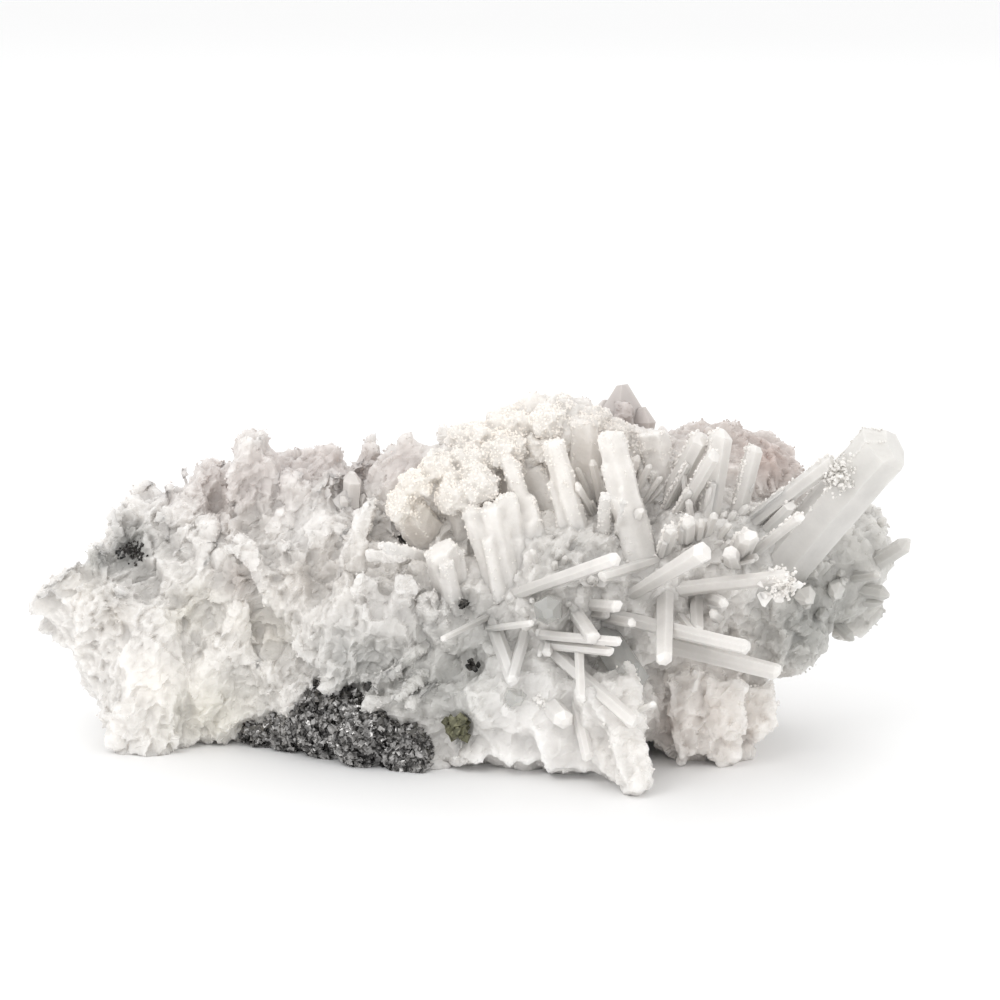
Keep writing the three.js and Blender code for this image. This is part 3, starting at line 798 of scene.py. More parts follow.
def chunks(spots, sizes, flatness, rng, kinds, corners):
    """Broken lumps with flat faces round spots, sizes wide in metres."""
    parts = []
    shapes = chunk_kinds(kinds, corners, rng)
    kind = rng.integers(0, kinds, len(spots))
    matrices = turned(len(spots), rng)
    depths = rng.uniform(0.6, 1, len(spots))
    heights = flatness * rng.uniform(0.7, 1.3, len(spots))
    stretch = np.stack([np.ones(len(spots)), depths, heights], axis=1)
    for index, (points, faces) in enumerate(shapes):
        chosen = kind == index
        if not chosen.any():
            continue
        shaped = points[None] * (stretch[chosen] * sizes[chosen][:, None] / 2)[:, None]
        placed = np.einsum("nij,nkj->nki", matrices[chosen], shaped) + spots[chosen][:, None]
        parts.append((placed.reshape(-1, 3), repeated(faces, len(placed), len(points))))
    return joined(parts)


def paler_tips(count, corners, foot, tip=0.96):
    """A share for each vertex of crystals(): foot at the foot, tip at the tip."""
    along = np.concatenate([np.repeat(np.linspace(0, 1, RINGS), corners * STRIPS), [0, 1]])
    return np.tile(foot + (tip - foot) * along, count)[:, None]


def icosphere(subdivisions):
    """Points and triangles of a ball of radius 1."""
    mesh = bpy.data.meshes.new("seed")
    built = bmesh.new()
    bmesh.ops.create_icosphere(built, subdivisions=subdivisions, radius=1)
    built.to_mesh(mesh)
    built.free()
    vertices = np.array([v.co[:] for v in mesh.vertices])
    faces = np.array([p.vertices[:] for p in mesh.polygons])
    bpy.data.meshes.remove(mesh)
    return vertices, faces


def reworked(vertices, faces, kind, **settings):
    """Points, normals and triangles of a mesh after one modifier."""
    mesh = bpy.data.meshes.new("source")
    mesh.from_pydata(vertices.tolist(), [], faces)
    source = linked("source", mesh)
    modifier = source.modifiers.new("rework", kind)
    for key, value in settings.items():
        setattr(modifier, key, value)
    bpy.context.view_layer.update()
    depsgraph = bpy.context.evaluated_depsgraph_get()
    result = bpy.data.meshes.new_from_object(source.evaluated_get(depsgraph))
    found = arrays(result)
    bpy.data.objects.remove(source)
    bpy.data.meshes.remove(mesh)
    bpy.data.meshes.remove(result)
    return found


def one_skin(parts, voxel):
    """One closed skin round overlapping shells."""
    return reworked(*joined(parts), "REMESH", mode="VOXEL", voxel_size=voxel)


def thinned(points, triangles, share):
    """The same skin with only a share of its triangles, the most where it bends most."""
    return reworked(points, triangles.tolist(), "DECIMATE", ratio=share)


def arrays(mesh):
    """Points, normals and triangles of a mesh."""
    vertices = np.empty(len(mesh.vertices) * 3, dtype=np.float32)
    mesh.vertices.foreach_get("co", vertices)
    normals = np.empty(len(mesh.vertices) * 3, dtype=np.float32)
    mesh.vertices.foreach_get("normal", normals)
    mesh.calc_loop_triangles()
    triangles = np.empty(len(mesh.loop_triangles) * 3, dtype=np.int32)
    mesh.loop_triangles.foreach_get("vertices", triangles)
    return (
        vertices.reshape(-1, 3).astype(float),
        normals.reshape(-1, 3).astype(float),
        triangles.reshape(-1, 3),
    )


def point_normals(points, triangles):
    """The mean normal of the triangles round each point."""
    a, b, c = (points[triangles[:, i]] for i in range(3))
    cross = np.cross(b - a, c - a)
    sums = [
        sum(
            np.bincount(triangles[:, i], weights=cross[:, axis], minlength=len(points))
            for i in range(3)
        )
        for axis in range(3)
    ]
    return unit(np.stack(sums, axis=1))


def broken(points, row, rng):
    """A surface broken into tilted, hollow faces: how far each point moves out, in metres.

    row is one of those of BREAKS. Where two faces meet there is a sharp crest or, if torn, a
    step."""
    cell, hollow, slope, step, stretch, torn = row
    cell, step = cell * MM, step * MM
    side = 24
    centres = rng.uniform(0, 1, (side, side, side, 3))
    tilts = unit(rng.normal(0, 1, (side, side, side, 3))) * slope
    steps = rng.uniform(-1, 1, (side, side, side)) * step
    scaled = points * np.array(stretch) / cell
    corner = np.floor(scaled).astype(int)
    least = np.full(len(points), np.inf)
    moved = np.zeros(len(points))
    for offset in itertools.product((-1, 0, 1), repeat=3):
        chosen = corner + np.array(offset)
        i, j, k = (chosen % side).T
        away = (scaled - chosen - centres[i, j, k]) * cell
        squared = np.einsum("ij,ij->i", away, away)
        face = hollow * squared / cell + steps[i, j, k]
        face += np.einsum("ij,ij->i", away, tilts[i, j, k])
        rank = squared if torn else face
        moved = np.where(rank < least, face, moved)
        least = np.minimum(rank, least)
    return moved - moved.mean()


def scatter(vertices, triangles, count, rng, weight=None):
    """Random spots on a mesh, by area."""
    a, b, c = (vertices[triangles[:, i]] for i in range(3))
    cross = np.cross(b - a, c - a)
    area = np.linalg.norm(cross, axis=1)
    if weight is not None:
        area = area * weight((a + b + c) / 3, unit(cross))
    chosen = rng.choice(len(area), count, p=area / area.sum())
    u, v = rng.uniform(0, 1, (2, count, 1))
    over = u + v > 1
    u, v = np.where(over, 1 - u, u), np.where(over, 1 - v, v)
    return a[chosen] + (b[chosen] - a[chosen]) * u + (c[chosen] - a[chosen]) * v


def picked(points, weight, count, rng):
    """Some of the points, the more likely the greater their weight."""
    return points[rng.choice(len(points), count, p=weight / weight.sum())]


def grained(spots, smallest, largest, rng):
    """Spots with a size for the grain on each, in metres."""
    return spots, rng.uniform(smallest, largest, len(spots)) * MM


def blocks(spots, sizes, rng, flatness=1.0):
    """Small broken pieces: boxes with every corner moved, each turned at random."""
    corners = np.array(
        [(x, y, z) for x in (-0.5, 0.5) for y in (-0.5, 0.5) for z in (-0.5, 0.5)]
    )
    count = len(spots)
    shaped = corners[None] * (1 + 0.45 * rng.uniform(-1, 1, (count, 8, 3)))
    shaped[..., 2] *= flatness
    matrices = turned(count, rng)
    vertices = np.einsum("nij,nkj->nki", matrices, shaped * sizes[:, None, None])
    vertices += spots[:, None]
    walls = [
        (0, 1, 3, 2), (4, 6, 7, 5), (0, 4, 5, 1), (2, 3, 7, 6), (0, 2, 6, 4), (1, 5, 7, 3),
    ]
    return vertices.reshape(-1, 3), repeated(walls, count, 8)


# ---- materials -----------------------------------------------------------------------------------


QUARTZ_IOR = 1.54


def material(
    name, colour, roughness, metallic=0.0, transmission=0.0, subsurface=0.0, depth=0.003
):
    """A plain material, with its node tree and its shader."""
    made = bpy.data.materials.new(name)
    made.use_nodes = True
    shader = made.node_tree.nodes["Principled BSDF"]
    values = {
        "Base Color": (*colour, 1),
        "Roughness": roughness,
        "Metallic": metallic,
        "IOR": QUARTZ_IOR,
        "Transmission Weight": transmission,
        "Subsurface Weight": subsurface,
        "Subsurface Radius": (1.0, 1.0, 1.0),
        "Subsurface Scale": depth,
    }
    for socket, value in values.items():
        shader.inputs[socket].default_value = value
    return made, made.node_tree, shader


def add_node(tree, kind, **values):
    """A node with values for its inputs and its settings."""
    node = tree.nodes.new(kind)
    for key, value in values.items():
        if key in node.inputs:
            node.inputs[key].default_value = value
        else:
            setattr(node, key, value)
    return node


def mapped(tree, source, span, result):
    """A number stretched from the span of its values to that of the result."""
    node = add_node(tree, "ShaderNodeMapRange")
    node.inputs["From Min"].default_value, node.inputs["From Max"].default_value = span
    node.inputs["To Min"].default_value, node.inputs["To Max"].default_value = result
    tree.links.new(source, node.inputs["Value"])
    return node.outputs["Result"]


def quartz_material(name, roughness, subsurface, depth, grain, bump, darker=0.9):
    """Tinted quartz: cloudy, paler on its sharp edges as painted highlight and darker in its
    creases as painted shade, with a fine grain.
    """
    made, tree, shader = material(name, WHITE, roughness, subsurface=subsurface, depth=depth)
    place = add_node(tree, "ShaderNodeTexCoord").outputs["Object"]
    tint = add_node(tree, "ShaderNodeVertexColor", layer_name="tint").outputs["Color"]
    cloud = add_node(tree, "ShaderNodeTexNoise", Scale=160.0, Detail=6.0, Roughness=0.62)
    fine = add_node(tree, "ShaderNodeTexNoise", Scale=grain, Detail=4.0, Roughness=0.6)
    tree.links.new(place, cloud.inputs["Vector"])
    tree.links.new(place, fine.inputs["Vector"])
    shape = add_node(tree, "ShaderNodeNewGeometry")
    clouds = mapped(tree, cloud.outputs["Fac"], (0.35, 0.65), (darker, 1.04))
    # painted highlight on sharp edges and painted shade in creases, from pointiness
    edges = mapped(tree, shape.outputs["Pointiness"], (0.42, 0.58), (0.88, 1.1))
    both = add_node(tree, "ShaderNodeMath", operation="MULTIPLY")
    tree.links.new(clouds, both.inputs[0])
    tree.links.new(edges, both.inputs[1])
    shade = add_node(tree, "ShaderNodeVectorMath", operation="SCALE")
    tree.links.new(tint, shade.inputs[0])
    tree.links.new(both.outputs["Value"], shade.inputs["Scale"])
    tree.links.new(shade.outputs["Vector"], shader.inputs["Base Color"])
    rough = mapped(tree, fine.outputs["Fac"], (0, 1), (roughness - 0.14, roughness + 0.16))
    tree.links.new(rough, shader.inputs["Roughness"])
    bumps = add_node(tree, "ShaderNodeBump", Strength=bump, Distance=0.0004)
    tree.links.new(fine.outputs["Fac"], bumps.inputs["Height"])
    tree.links.new(bumps.outputs["Normal"], shader.inputs["Normal"])
    return made


def metal_material(name, dark, light, low, high, scale, metallic):
    """Grains of colours from dark to light, and of roughness from low to high."""
    made, tree, shader = material(name, dark, low, metallic)
    place = add_node(tree, "ShaderNodeTexCoord")
    cells = add_node(tree, "ShaderNodeTexVoronoi", Scale=scale)
    tree.links.new(place.outputs["Object"], cells.inputs["Vector"])
    split = add_node(tree, "ShaderNodeSeparateColor")
    tree.links.new(cells.outputs["Color"], split.inputs["Color"])
    blend = add_node(tree, "ShaderNodeMix", data_type="RGBA")
    colour_inputs = [socket for socket in blend.inputs if socket.type == "RGBA"]
    for socket, colour in zip(colour_inputs, (dark, light)):
        socket.default_value = (*colour, 1)
    tree.links.new(split.outputs["Red"], blend.inputs["Factor"])
    colour_output = [socket for socket in blend.outputs if socket.type == "RGBA"][0]
    tree.links.new(colour_output, shader.inputs["Base Color"])
    rough = mapped(tree, split.outputs["Green"], (0, 1), (low, high))
    tree.links.new(rough, shader.inputs["Roughness"])
    return made


def clear_material(name, colour, roughness, transmission, absorbed, density):
    """See-through quartz, whose tint deepens with the way through it."""
    made, tree, _ = material(name, colour, roughness, transmission=transmission)
    inside = add_node(tree, "ShaderNodeVolumeAbsorption", Color=(*absorbed, 1), Density=density)
    tree.links.new(inside.outputs["Volume"], tree.nodes["Material Output"].inputs["Volume"])
    return made


milky = quartz_material(
    "milky quartz", roughness=0.36, subsurface=0.6, depth=0.0045, grain=900.0, bump=0.6
)
prism_quartz = quartz_material(
    "prism quartz", roughness=0.34, subsurface=0.5, depth=0.0015, grain=700.0, bump=0.3, darker=0.94
)
sugar_quartz = quartz_material(
    "sugary quartz", roughness=0.5, subsurface=0.0, depth=0.001, grain=1500.0, bump=0.3, darker=0.95
)
clear_quartz = clear_material(
    "clear quartz", (0.9, 0.9, 0.88), roughness=0.2, transmission=0.7,
    absorbed=(0.84, 0.85, 0.82), density=60.0,
)
galena_metal = metal_material(
    "galena", dark=(0.05, 0.048, 0.047), light=(0.46, 0.45, 0.44), low=0.12, high=0.5,
    scale=900.0, metallic=1.0,
)
pyrite_metal = metal_material(
    "pyrite", dark=(0.06, 0.06, 0.035), light=(0.2, 0.195, 0.12), low=0.35, high=0.6,
    scale=1400.0, metallic=0.4,
)
black_blende = metal_material(
    "sphalerite", dark=(0.008, 0.008, 0.008), light=(0.05, 0.045, 0.04), low=0.15, high=0.5,
    scale=900.0, metallic=0.2,
)

# ---- the quartz mass -----------------------------------------------------------------------------


def lumps(rows, inset, rng, subdivisions=1):
    """Uneven balls, one for each row, made smaller by inset."""
    ball, ball_faces = icosphere(subdivisions)
    parts = []
    for row in rows:
        jitter = rng.uniform(0.9, 1.18, (len(ball), 1))
        halves = np.array(row[3:6]) - inset
        parts.append(((ball * jitter * halves + np.array(row[:3])) * MM, ball_faces))
    return joined(parts)


def ridged(points, size, rng, stretch):
    """Sharp crests over wide hollows, rough at every scale: about -1 to 1."""
    shift = rng.uniform(-50, 50, 3)
    places = points * np.array(stretch) / size + shift
    flatness, detail, octaves, offset, gain = 0.9, 2.1, 5, 1.0, 1.6
    values = np.array(
        [
            noise.ridged_multi_fractal(place, flatness, detail, octaves, offset, gain)
            for place in places
        ]
    )
    return np.clip((values - values.mean()) / (2 * values.std()), -1.2, 1.2)


def outer_spots(rows, share, rng):
    """Spots on the outside of the lumps, share of them to each square mm, with their normals."""
    spots, normals = [], []
    every = np.array(MASS, dtype=float)
    for row in rows:
        middle, halves = np.array(row[:3], dtype=float), np.array(row[3:6], dtype=float)
        area = 4 * math.pi * (halves.prod() ** (2 / 3))
        ways = unit(rng.normal(0, 1, (int(area * share), 3)))
        found = middle + ways * halves
        away = (found[:, None] - every[None, :, :3]) / every[None, :, 3:6]
        outside = (np.linalg.norm(away, axis=2) > 0.93).all(axis=1) & (found[:, 2] > 0)
        spots.append(found[outside])
        normals.append(unit(ways / halves)[outside])
    return np.concatenate(spots), np.concatenate(normals)


def slab_rows(spots, normals, shortest, longest, rng):
    """Rows for sheets() that stand out of the mass at spots, in mm."""
    count = len(spots)
    aims = unit(normals * 0.7 + np.array((-0.1, -0.1, 0.9)) + 0.45 * rng.normal(0, 1, (count, 3)))
    reach = rng.uniform(shortest, longest, (count, 1))
    look = unit(normals + 0.35 * rng.normal(0, 1, (count, 3)))
    width = reach * rng.uniform(0.5, 1.1, (count, 1))
    thick = reach * rng.uniform(0.14, 0.3, (count, 1)) + 0.5
    return np.concatenate(
        [spots - aims * reach * 0.62, spots + aims * reach * 0.26, width, thick, look], axis=1
    )


def soft_core(rows, rng, extra=()):
    """Lumps and slabs run together into one smooth body."""
    points, _, triangles = one_skin([lumps(rows, -0.9, rng, 2), *extra], 1.1 * MM)
    return smoothed(points, triangles, 8), triangles.tolist()


def roughness_at(points):
    """How rough the mass is: less in the smooth places of CALM."""
    share = np.ones(len(points))
    for x, y, z, radius in CALM:
        share *= 1 - CALM_SHARE * nearness(points, (x, y, z), radius)
    return share


def sunk(points):
    """How far the quartz lies back in the recesses and round the pyrite and sphalerite."""
    seats = [
        (x, y - half, z, half + SEAT_MARGIN, SEAT_DEPTH)
        for x, y, z, half, *_ in (PYRITE, *SPHALERITE[:3])
    ]
    depths = np.zeros(len(points))
    for x, y, z, radius, depth in RECESSES + seats:
        depths = np.maximum(depths, depth * nearness(points, (x, y, z), radius))
    return depths * MM


def milky_skin(name, points, triangles, share):
    """A skin of milky quartz with a share of its triangles left.

    Returns its points, its triangles and how far each point stands out."""
    points, normals, triangles = thinned(within(points), triangles, share)
    stands = relief(points, normals, triangles)
    # painted light on the crests and painted shade in the hollows, over the quartz's colours
    tints = painted_relief_light(tint_at(points), stands)
    new_object(name, points, triangles.tolist(), milky, tints=tints)
    return points, triangles, stands


def quartz_body(name, parts, rng, voxel, melt, rough, share):
    """Parts under one skin, melted together and broken into hollows.

    melt is the rounds of smoothing, rough scales the breaks' depth and share is how many of the
    triangles stay."""
    points, _, triangles = one_skin(parts, voxel)
    points = smoothed(points, triangles, melt)
    normals = point_normals(points, triangles)
    moved = ridged(points, RIDGE_SIZE * MM, rng, RIDGE_STRETCH) * RIDGE_HEIGHT * MM
    for row in BREAKS:
        moved += broken(points, row, rng)
    moved *= rough * roughness_at(points)
    moved -= sunk(points)
    return milky_skin(name, points + normals * moved[:, None], triangles, share)


def broken_parts(rows, rng, slab_share, slab_sizes, shard_share, shard_sizes):
    """Slabs, and angular shards from small to large, scattered over lumps.

    The shares are how many stand on each square mm, and the sizes smallest and largest in mm."""
    spots, facing = outer_spots(rows, slab_share, rng)
    slabs = sheets(slab_rows(spots, facing, *slab_sizes, rng), rng)
    spots, facing = outer_spots(rows, shard_share, rng)
    kept = rng.uniform(0, 1, len(spots)) < roughness_at(spots * MM) ** 2
    spots, facing = spots[kept], facing[kept]
    smallest, largest = shard_sizes
    sizes = smallest + (largest - smallest) * rng.uniform(0, 1, len(spots)) ** 2.5
    spots = spots + facing * (0.9 - 0.3 * sizes[:, None])
    return [slabs, chunks(spots * MM, sizes * MM, 0.4, rng, kinds=16, corners=9)]


def shortened(rows, reach, taper):
    """The same crystals with less reach and a wider foot."""
    made = []
    for row in rows:
        foot, tip = np.array(row[:3]), np.array(row[3:6])
        made.append((*foot, *(foot + (tip - foot) * reach), row[6], taper))
    return made


def left_half(rows, rng):
    """The pitted left half: lumps, trunks and swells run together, slabs and ribs on them."""
    swells = sheets([(*row, *FACING_UP) for row in SWELLS], rng, around=24)
    trunks = crystals(shortened(TRUNKS, reach=0.85, taper=1.4), rng, rings=5, **RIBS)
    parts = [
        soft_core(rows, rng, [swells, trunks]),
        sheets([(*row, *FACING_UP) for row in SLABS], rng, around=24),
        crystals(SKYLINE, rng, **BLOCKS),
        crystals(STREAKS, rng, rings=6, **RIBS),
        *broken_parts(
            rows, rng, slab_share=0.002, slab_sizes=(6, 12), shard_share=0.03, shard_sizes=(2, 9)
        ),
    ]
    return quartz_body("quartz_left", parts, rng, voxel=0.42 * MM, melt=1, rough=1, share=0.62)


def right_half(rows, rng):
    """The softer middle, right and back, with the pale foot."""
    parts = [
        soft_core(rows, rng),
        sheets([(*row, *FACING_OUT) for row in FOOT_SLABS], rng, around=24),
        crystals(CREST_SHOULDER, rng, **BLOCKS),
        *broken_parts(
            rows, rng, slab_share=0.002, slab_sizes=(7, 14), shard_share=0.04, shard_sizes=(2.5, 11)
        ),
    ]
    return quartz_body("quartz_right", parts, rng, voxel=0.55 * MM, melt=2, rough=0.75, share=0.55)


def clear_blades(rng):
    """Ragged blades that stand clear of the left half."""
    parts = [sheets([(*row, *FACING_OUT) for row in RAGGED], rng, around=40)]
    quartz_body("quartz_blades", parts, rng, voxel=0.28 * MM, melt=1, rough=0.35, share=0.8)


def frost(points, stands, rng):
    """Small flat grains along the crests of the mass."""
    weight = np.clip(stands - 0.6, 0, 1) * (points[:, 2] > 3 * MM)
    spots = picked(points, weight, FROST_GRAINS, rng)
    spots += rng.normal(0, 0.15 * MM, spots.shape)
    vertices, faces = blocks(*grained(spots, 0.15, 0.42, rng), rng, flatness=0.7)
    new_object("quartz_frost", vertices, faces, sugar_quartz, tints=tint_at(vertices))


BLOCKS = {"corners": 6, "strips": 1, "rings": 4, "point": 0.5, "uneven": 0.2, "slab": 0.4}
RIBS = {"corners": 5, "strips": 1, "uneven": 0.2, "slab": 0.5}
# How far slabs face forward and up.
FACING_UP = (-1, 0.3)
FACING_OUT = (-1, 0.2)

rng = np.random.default_rng(SEED)
left_rows = [row for row in MASS if row[0] < LEFT_HALF_X and row[1] < LEFT_HALF_Y]
right_rows = [row for row in MASS if row not in left_rows]
left_points, _, left_stands = left_half(left_rows, rng)
right_points, _, right_stands = right_half(right_rows, rng)
clear_blades(rng)
mass_points = np.concatenate([left_points, right_points])
frost(mass_points, np.concatenate([left_stands, right_stands]), rng)

# ---- prisms --------------------------------------------------------------------------------------


def companions(rows, each, rng):
    """Smaller crystals grown along the sides of larger ones."""
    made = []
    for row in rows:
        foot, tip, width = np.array(row[:3]), np.array(row[3:6]), row[6]
        for _ in range(each):
            side = np.cross(unit(tip - foot), rng.normal(0, 1, 3))
            shift = unit(side) * width * rng.uniform(0.3, 0.5)
            end = foot + (tip - foot) * rng.uniform(0.55, 0.92)
            made.append((*(foot + shift), *(end + shift), width * rng.uniform(0.35, 0.7), 1.1))
    return made


def bundled(rows, rng, strand):
    """Wide crystals as several narrower ones grown side by side."""
    made = []
    for row in rows:
        foot, tip, width, share = np.array(row[:3]), np.array(row[3:6]), row[6], row[7]
        strands = max(1, round(width / strand))
        side = unit(np.cross(tip - foot, (0, -1, 0)))
        for index in range(strands):
            shift = side * ((index + 0.5) / strands - 0.5) * width * 0.85
            shift = shift + np.array((0, 1, 0)) * rng.uniform(-0.3, 0.3) * width * (strands > 1)
            end = foot + (tip - foot) * (1 - (strands > 1) * rng.uniform(0, 0.12)) + shift
            thickness = width / strands * (1 + (strands > 1) * rng.uniform(0.1, 0.5))
            made.append((*(foot + shift * share), *end, thickness, share))
    return made


def spray_rows(sprays, rng):
    """Rows of crystals that radiate from a few roots."""
    made = []
    for x, y, z, aim_x, aim_y, aim_z, count, spread, shortest, longest, thickest in sprays:
        aims = unit(np.array((aim_x, aim_y, aim_z)))[None]
        aims = aims + rng.uniform(-spread, spread, (count, 3))
        tips = np.array((x, y, z)) + unit(aims) * rng.uniform(shortest, longest, (count, 1))
        for tip in tips:
            made.append((x, y, z, *tip, thickest * rng.uniform(0.4, 1), 1))
    return made


def prisms(name, rows, rng, foot=0.8, **ends):
    """A group of prisms with darker feet and paler tips; returns their points."""
    vertices, faces = crystals(rows, rng, **ends)
    tints = tint_at(vertices) * paler_tips(len(rows), ends.get("corners", CORNERS), foot)
    new_object(name, vertices, faces, prism_quartz, tints=tints)
    return vertices


def icy_clump(rng):
    """A clump of small pieces at the end of the spray."""
    middle = np.array(ICY_CLUMP) * MM
    spots = middle + rng.normal(0, 1, (ICY_PIECES, 3)) * np.array(ICY_SPREAD) * MM
    spots, sizes = grained(spots, 1.6, 4, rng)
    vertices, faces = chunks(spots, sizes, 0.6, rng, kinds=8, corners=10)
    new_object("icy_clump", vertices, faces, prism_quartz, tints=tint_at(vertices))


BLUNT = {"point": 0.25, "blunt": 0.58, "uneven": 0.08}
ROUGH = {"point": 0.3, "blunt": 0.5, "uneven": 0.14, "wander": 0.06, "slab": 0.35}
SHARP = {"point": 0.5, "blunt": 0.3, "uneven": 0.1}
PYRAMID = {"corners": 5, "point": 0.5, "blunt": 0.3, "uneven": 0.2}

fan_rows = RIGHT_FAN + companions(RIGHT_FAN, 1, rng)
end_rows = RIGHT_END + companions(RIGHT_END, 1, rng)
centre_rows = CENTRE_CRYSTALS + companions(CENTRE_CRYSTALS, 2, rng)
prisms("front_spray", FRONT_SPRAY, rng, **BLUNT)
fan_points = prisms("right_fan", fan_rows, rng, **BLUNT)
prisms("right_end", end_rows, rng, **SHARP)
prisms("centre_crystals", centre_rows, rng, **ROUGH)
prisms("peak", PEAK, rng, **PYRAMID)
vertices, faces = crystals(CLEAR_CRYSTALS, rng)
new_object("clear_crystals", vertices, faces, clear_quartz)
prisms("back_sprays", spray_rows(SIDE_SPRAYS, rng), rng, foot=0.72)
prisms("inner_sprays", spray_rows(FILLING, rng), rng, foot=0.72)
icy_clump(rng)

# ---- crest ---------------------------------------------------------------------------------------


def near_cap(points):
    """1 within the cap's lumps, falling to 0 a little way outside them."""
    rows = np.array(CAP, dtype=float)
    away = np.min(
        [np.linalg.norm((points / MM - row[:3]) / row[3:6], axis=1) for row in rows], axis=0
    )
    return np.clip((1.5 - away) / 0.4, 0, 1)


def crest(rng):
    """Worn, striated columns and the lumpy cap on them, under one skin."""
    columns = bundled(CREST_COLUMNS, rng, strand=6) + companions(CREST_COLUMNS, 2, rng)
    parts = [
        crystals(columns, rng, **WORN),
        crystals(CREST_BODIES + companions(CREST_BODIES, 2, rng), rng, **WORN),
        lumps(CAP, 0, rng),
    ]
    points, _, triangles = one_skin(parts, 0.36 * MM)
    points = smoothed(points, triangles, 2)
    normals = point_normals(points, triangles)
    capped = near_cap(points)
    moved = broken(points, CREST_BREAK, rng)
    for row in CAP_BREAKS:
        moved += capped * broken(points, row, rng)
    return milky_skin("crest", points + normals * moved[:, None], triangles, share=0.8)


WORN = {
    "point": 0.16, "blunt": 0.7, "uneven": 0.1, "slab": 0.4, "wander": 0.035, "rings": 14,
    "facing": (0, -1, 0),
}
crest_points, crest_triangles, crest_stands = crest(rng)

# ---- druse ---------------------------------------------------------------------------------------


def edge_spots(shells, number, count, rng):
    """Spots along the two uppermost edges of each of a number of crystals."""
    around = CORNERS * STRIPS
    loops = shells.reshape(number, -1, 3)[:, : RINGS * around]
    loops = loops.reshape(number, RINGS, around, 3)[:, :, ::STRIPS]
    middle = loops[:, RINGS // 2] - loops[:, RINGS // 2].mean(axis=1, keepdims=True)
    upper = np.argsort(0.3 * middle[..., 0] - middle[..., 2], axis=1)[:, :2]
    which = rng.integers(number, size=count)
    corner = upper[which, rng.integers(2, size=count)]
    ring = rng.uniform(0.35, 1, count) * (RINGS - 1.01)
    low = ring.astype(int)
    share = (ring - low)[:, None]
    spots = loops[which, low, corner] * (1 - share) + loops[which, low + 1, corner] * share
    return spots + rng.normal(0, 0.12 * MM, (count, 3))


def on_cap(spots, facing):
    """Where the druse is thick: on the cap, and most on what faces up."""
    return 0.02 + near_cap(spots) * np.clip(facing[:, 2] + 0.6, 0.2, 1.4)


def line_spots(rng):
    """Spots strewn along a line."""
    share = rng.uniform(0, 1, (LINE_GRAINS, 1))
    start, end = np.array(FOOT_LINE)
    line = start * (1 - share) + end * share
    return (line + rng.normal(0, 0.35, line.shape)) * MM


spots = scatter(crest_points, crest_triangles, CAP_GRAINS, rng, on_cap)
patches = [grained(spots, 0.15, 0.4, rng)]
rims = picked(crest_points, np.clip(crest_stands - 0.5, 0, 1), RIM_GRAINS, rng)
patches.append(grained(rims, 0.15, 0.4, rng))
edges = edge_spots(fan_points, len(fan_rows), EDGE_GRAINS, rng)
patches.append(grained(edges, 0.15, 0.45, rng))
for x, y, z, spread, count in TUFTS:
    tuft = (np.array((x, y, z)) + rng.normal(0, spread, (count, 3))) * MM
    patches.append(grained(tuft, 0.2, 0.6, rng))
patches.append(grained(line_spots(rng), 0.2, 0.6, rng))
spots, sizes = (np.concatenate(parts) for parts in zip(*patches))
vertices, faces = blocks(spots, sizes, rng)
# painted light: the druse made 6 % paler, to make up for the shade its grains cast on each other
tints = np.clip(tint_at(vertices) * 1.06, 0, 0.97)
new_object("druse", vertices, faces, sugar_quartz, tints=tints)

# ---- sulphides -----------------------------------------------------------------------------------


def galena_seam(rng):
    """The seam's lumps under a broken skin, crowded with cubes."""
    points, normals, triangles = one_skin([lumps(GALENA, -1.2, rng, subdivisions=2)], 0.5 * MM)
    points += normals * broken(points, GALENA_BREAK, rng)[:, None]
    points[:, 2] = np.maximum(points[:, 2], 0)
    nodes = ("galena_seam",)
    new_object("galena_seam_mass", points, triangles.tolist(), galena_metal, nodes)
    spots = scatter(points, triangles, GALENA_GRAINS, rng)
    vertices, faces = blocks(*grained(spots, 0.35, 1.1, rng), rng)
    vertices[:, 2] = np.maximum(vertices[:, 2], 0)
    new_object("galena_grains", vertices, faces, galena_metal, nodes)


def pyrite(rng):
    """One crystal of pyrite, a cluster of cubes."""
    x, y, z, half = PYRITE
    spots = np.array((x, y, z)) * MM + rng.normal(0, 0.33 * half, (PYRITE_GRAINS, 3)) * MM
    vertices, faces = blocks(*grained(spots, 0.8, 1.8, rng), rng)
    new_object("pyrite_grains", vertices, faces, pyrite_metal, ("pyrite_crystal",))


def sphalerite_smear(points, rng):
    """Black grains strewn over the skin of the left half."""
    away = (points / MM - np.array(SPHALERITE[3][:3])) / np.array(SMEAR_SPREAD)
    weight = np.exp(-np.einsum("ij,ij->i", away, away)) * (points[:, 1] < SMEAR_BACK * MM)
    spots = picked(points, weight, SMEAR_GRAINS, rng)
    vertices, faces = blocks(*grained(spots, 0.2, 0.55, rng), rng)
    nodes = ("sphalerite_crystal_4",)
    new_object("sphalerite_smear", vertices, faces, black_blende, nodes)


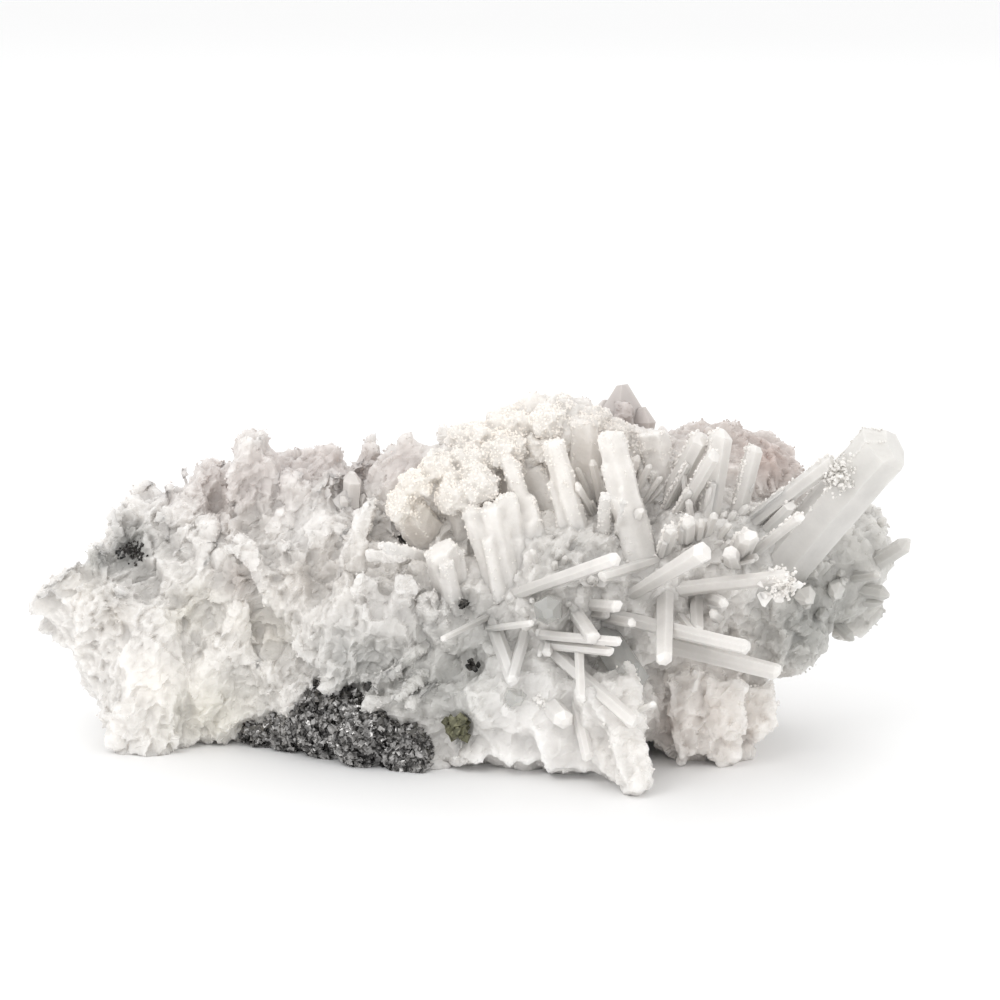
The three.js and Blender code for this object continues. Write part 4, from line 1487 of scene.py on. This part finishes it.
def sphalerite_crystal(number, rng):
    """One black crystal, a cluster of broken pieces."""
    x, y, z, *halves = SPHALERITE[number - 1]
    middle = np.array((x, y - 1, z))
    spots = (middle + rng.normal(0, 0.3, (BLENDE_PIECES, 3)) * np.array(halves)) * MM
    spots, sizes = grained(spots, 1.2, 2.2, rng)
    vertices, faces = chunks(spots, sizes, 0.8, rng, kinds=4, corners=12)
    node = f"sphalerite_crystal_{number}"
    new_object(f"{node}_body", vertices, faces, black_blende, (node,))


galena_seam(rng)
pyrite(rng)
sphalerite_smear(left_points, rng)
for number in (1, 2, 3):
    sphalerite_crystal(number, rng)

# ---- floor, lights and camera --------------------------------------------------------------------

FLOOR_HALF = 3  # metres
floor_corners = [
    (x * FLOOR_HALF, y * FLOOR_HALF, 0) for x, y in ((-1, -1), (1, -1), (1, 1), (-1, 1))
]
floor_mesh = bpy.data.meshes.new("floor")
floor_mesh.from_pydata(floor_corners, [], [(0, 1, 2, 3)])
floor = linked("floor", floor_mesh)
floor_mesh.materials.append(material("floor", (0.95, 0.95, 0.95), 0.6)[0])

world = bpy.data.worlds.new("studio")
world.use_nodes = True
sky = world.node_tree.nodes["Background"]
sky.inputs["Color"].default_value = (1, 1, 1, 1)
sky.inputs["Strength"].default_value = 1.0
bpy.context.scene.world = world


def area_light(name, place, size, power):
    """A square lamp that looks at the middle of the specimen."""
    data = bpy.data.lights.new(name, "AREA")
    data.size = size
    data.energy = power
    light = linked(name, data)
    light.location = place
    light.rotation_euler = (LIT_SPOT - Vector(place)).to_track_quat("-Z", "Y").to_euler()


LIT_SPOT = Vector((0, 0, 0.03))
area_light("key", (-0.5, -0.7, 0.9), size=0.6, power=3.5)
area_light("fill", (0.8, -0.6, 0.5), size=0.8, power=0.5)
area_light("back", (0.1, 0.8, 0.7), size=0.8, power=1.5)

CAMERA_TARGET = Vector((0.0058, 0, 0.0518))
CAMERA_DISTANCE = 0.9
CAMERA_ELEVATION = math.radians(12)
camera_data = bpy.data.cameras.new("camera")
camera_data.lens = 162
camera_data.sensor_width = 36
camera_data.clip_start = 0.01
camera = linked("camera", camera_data)
backward = Vector((0, -math.cos(CAMERA_ELEVATION), math.sin(CAMERA_ELEVATION)))
camera.location = CAMERA_TARGET + backward * CAMERA_DISTANCE
camera.rotation_euler = (math.pi / 2 - CAMERA_ELEVATION, 0, 0)
bpy.context.scene.camera = camera

bpy.context.scene.view_settings.view_transform = "Standard"
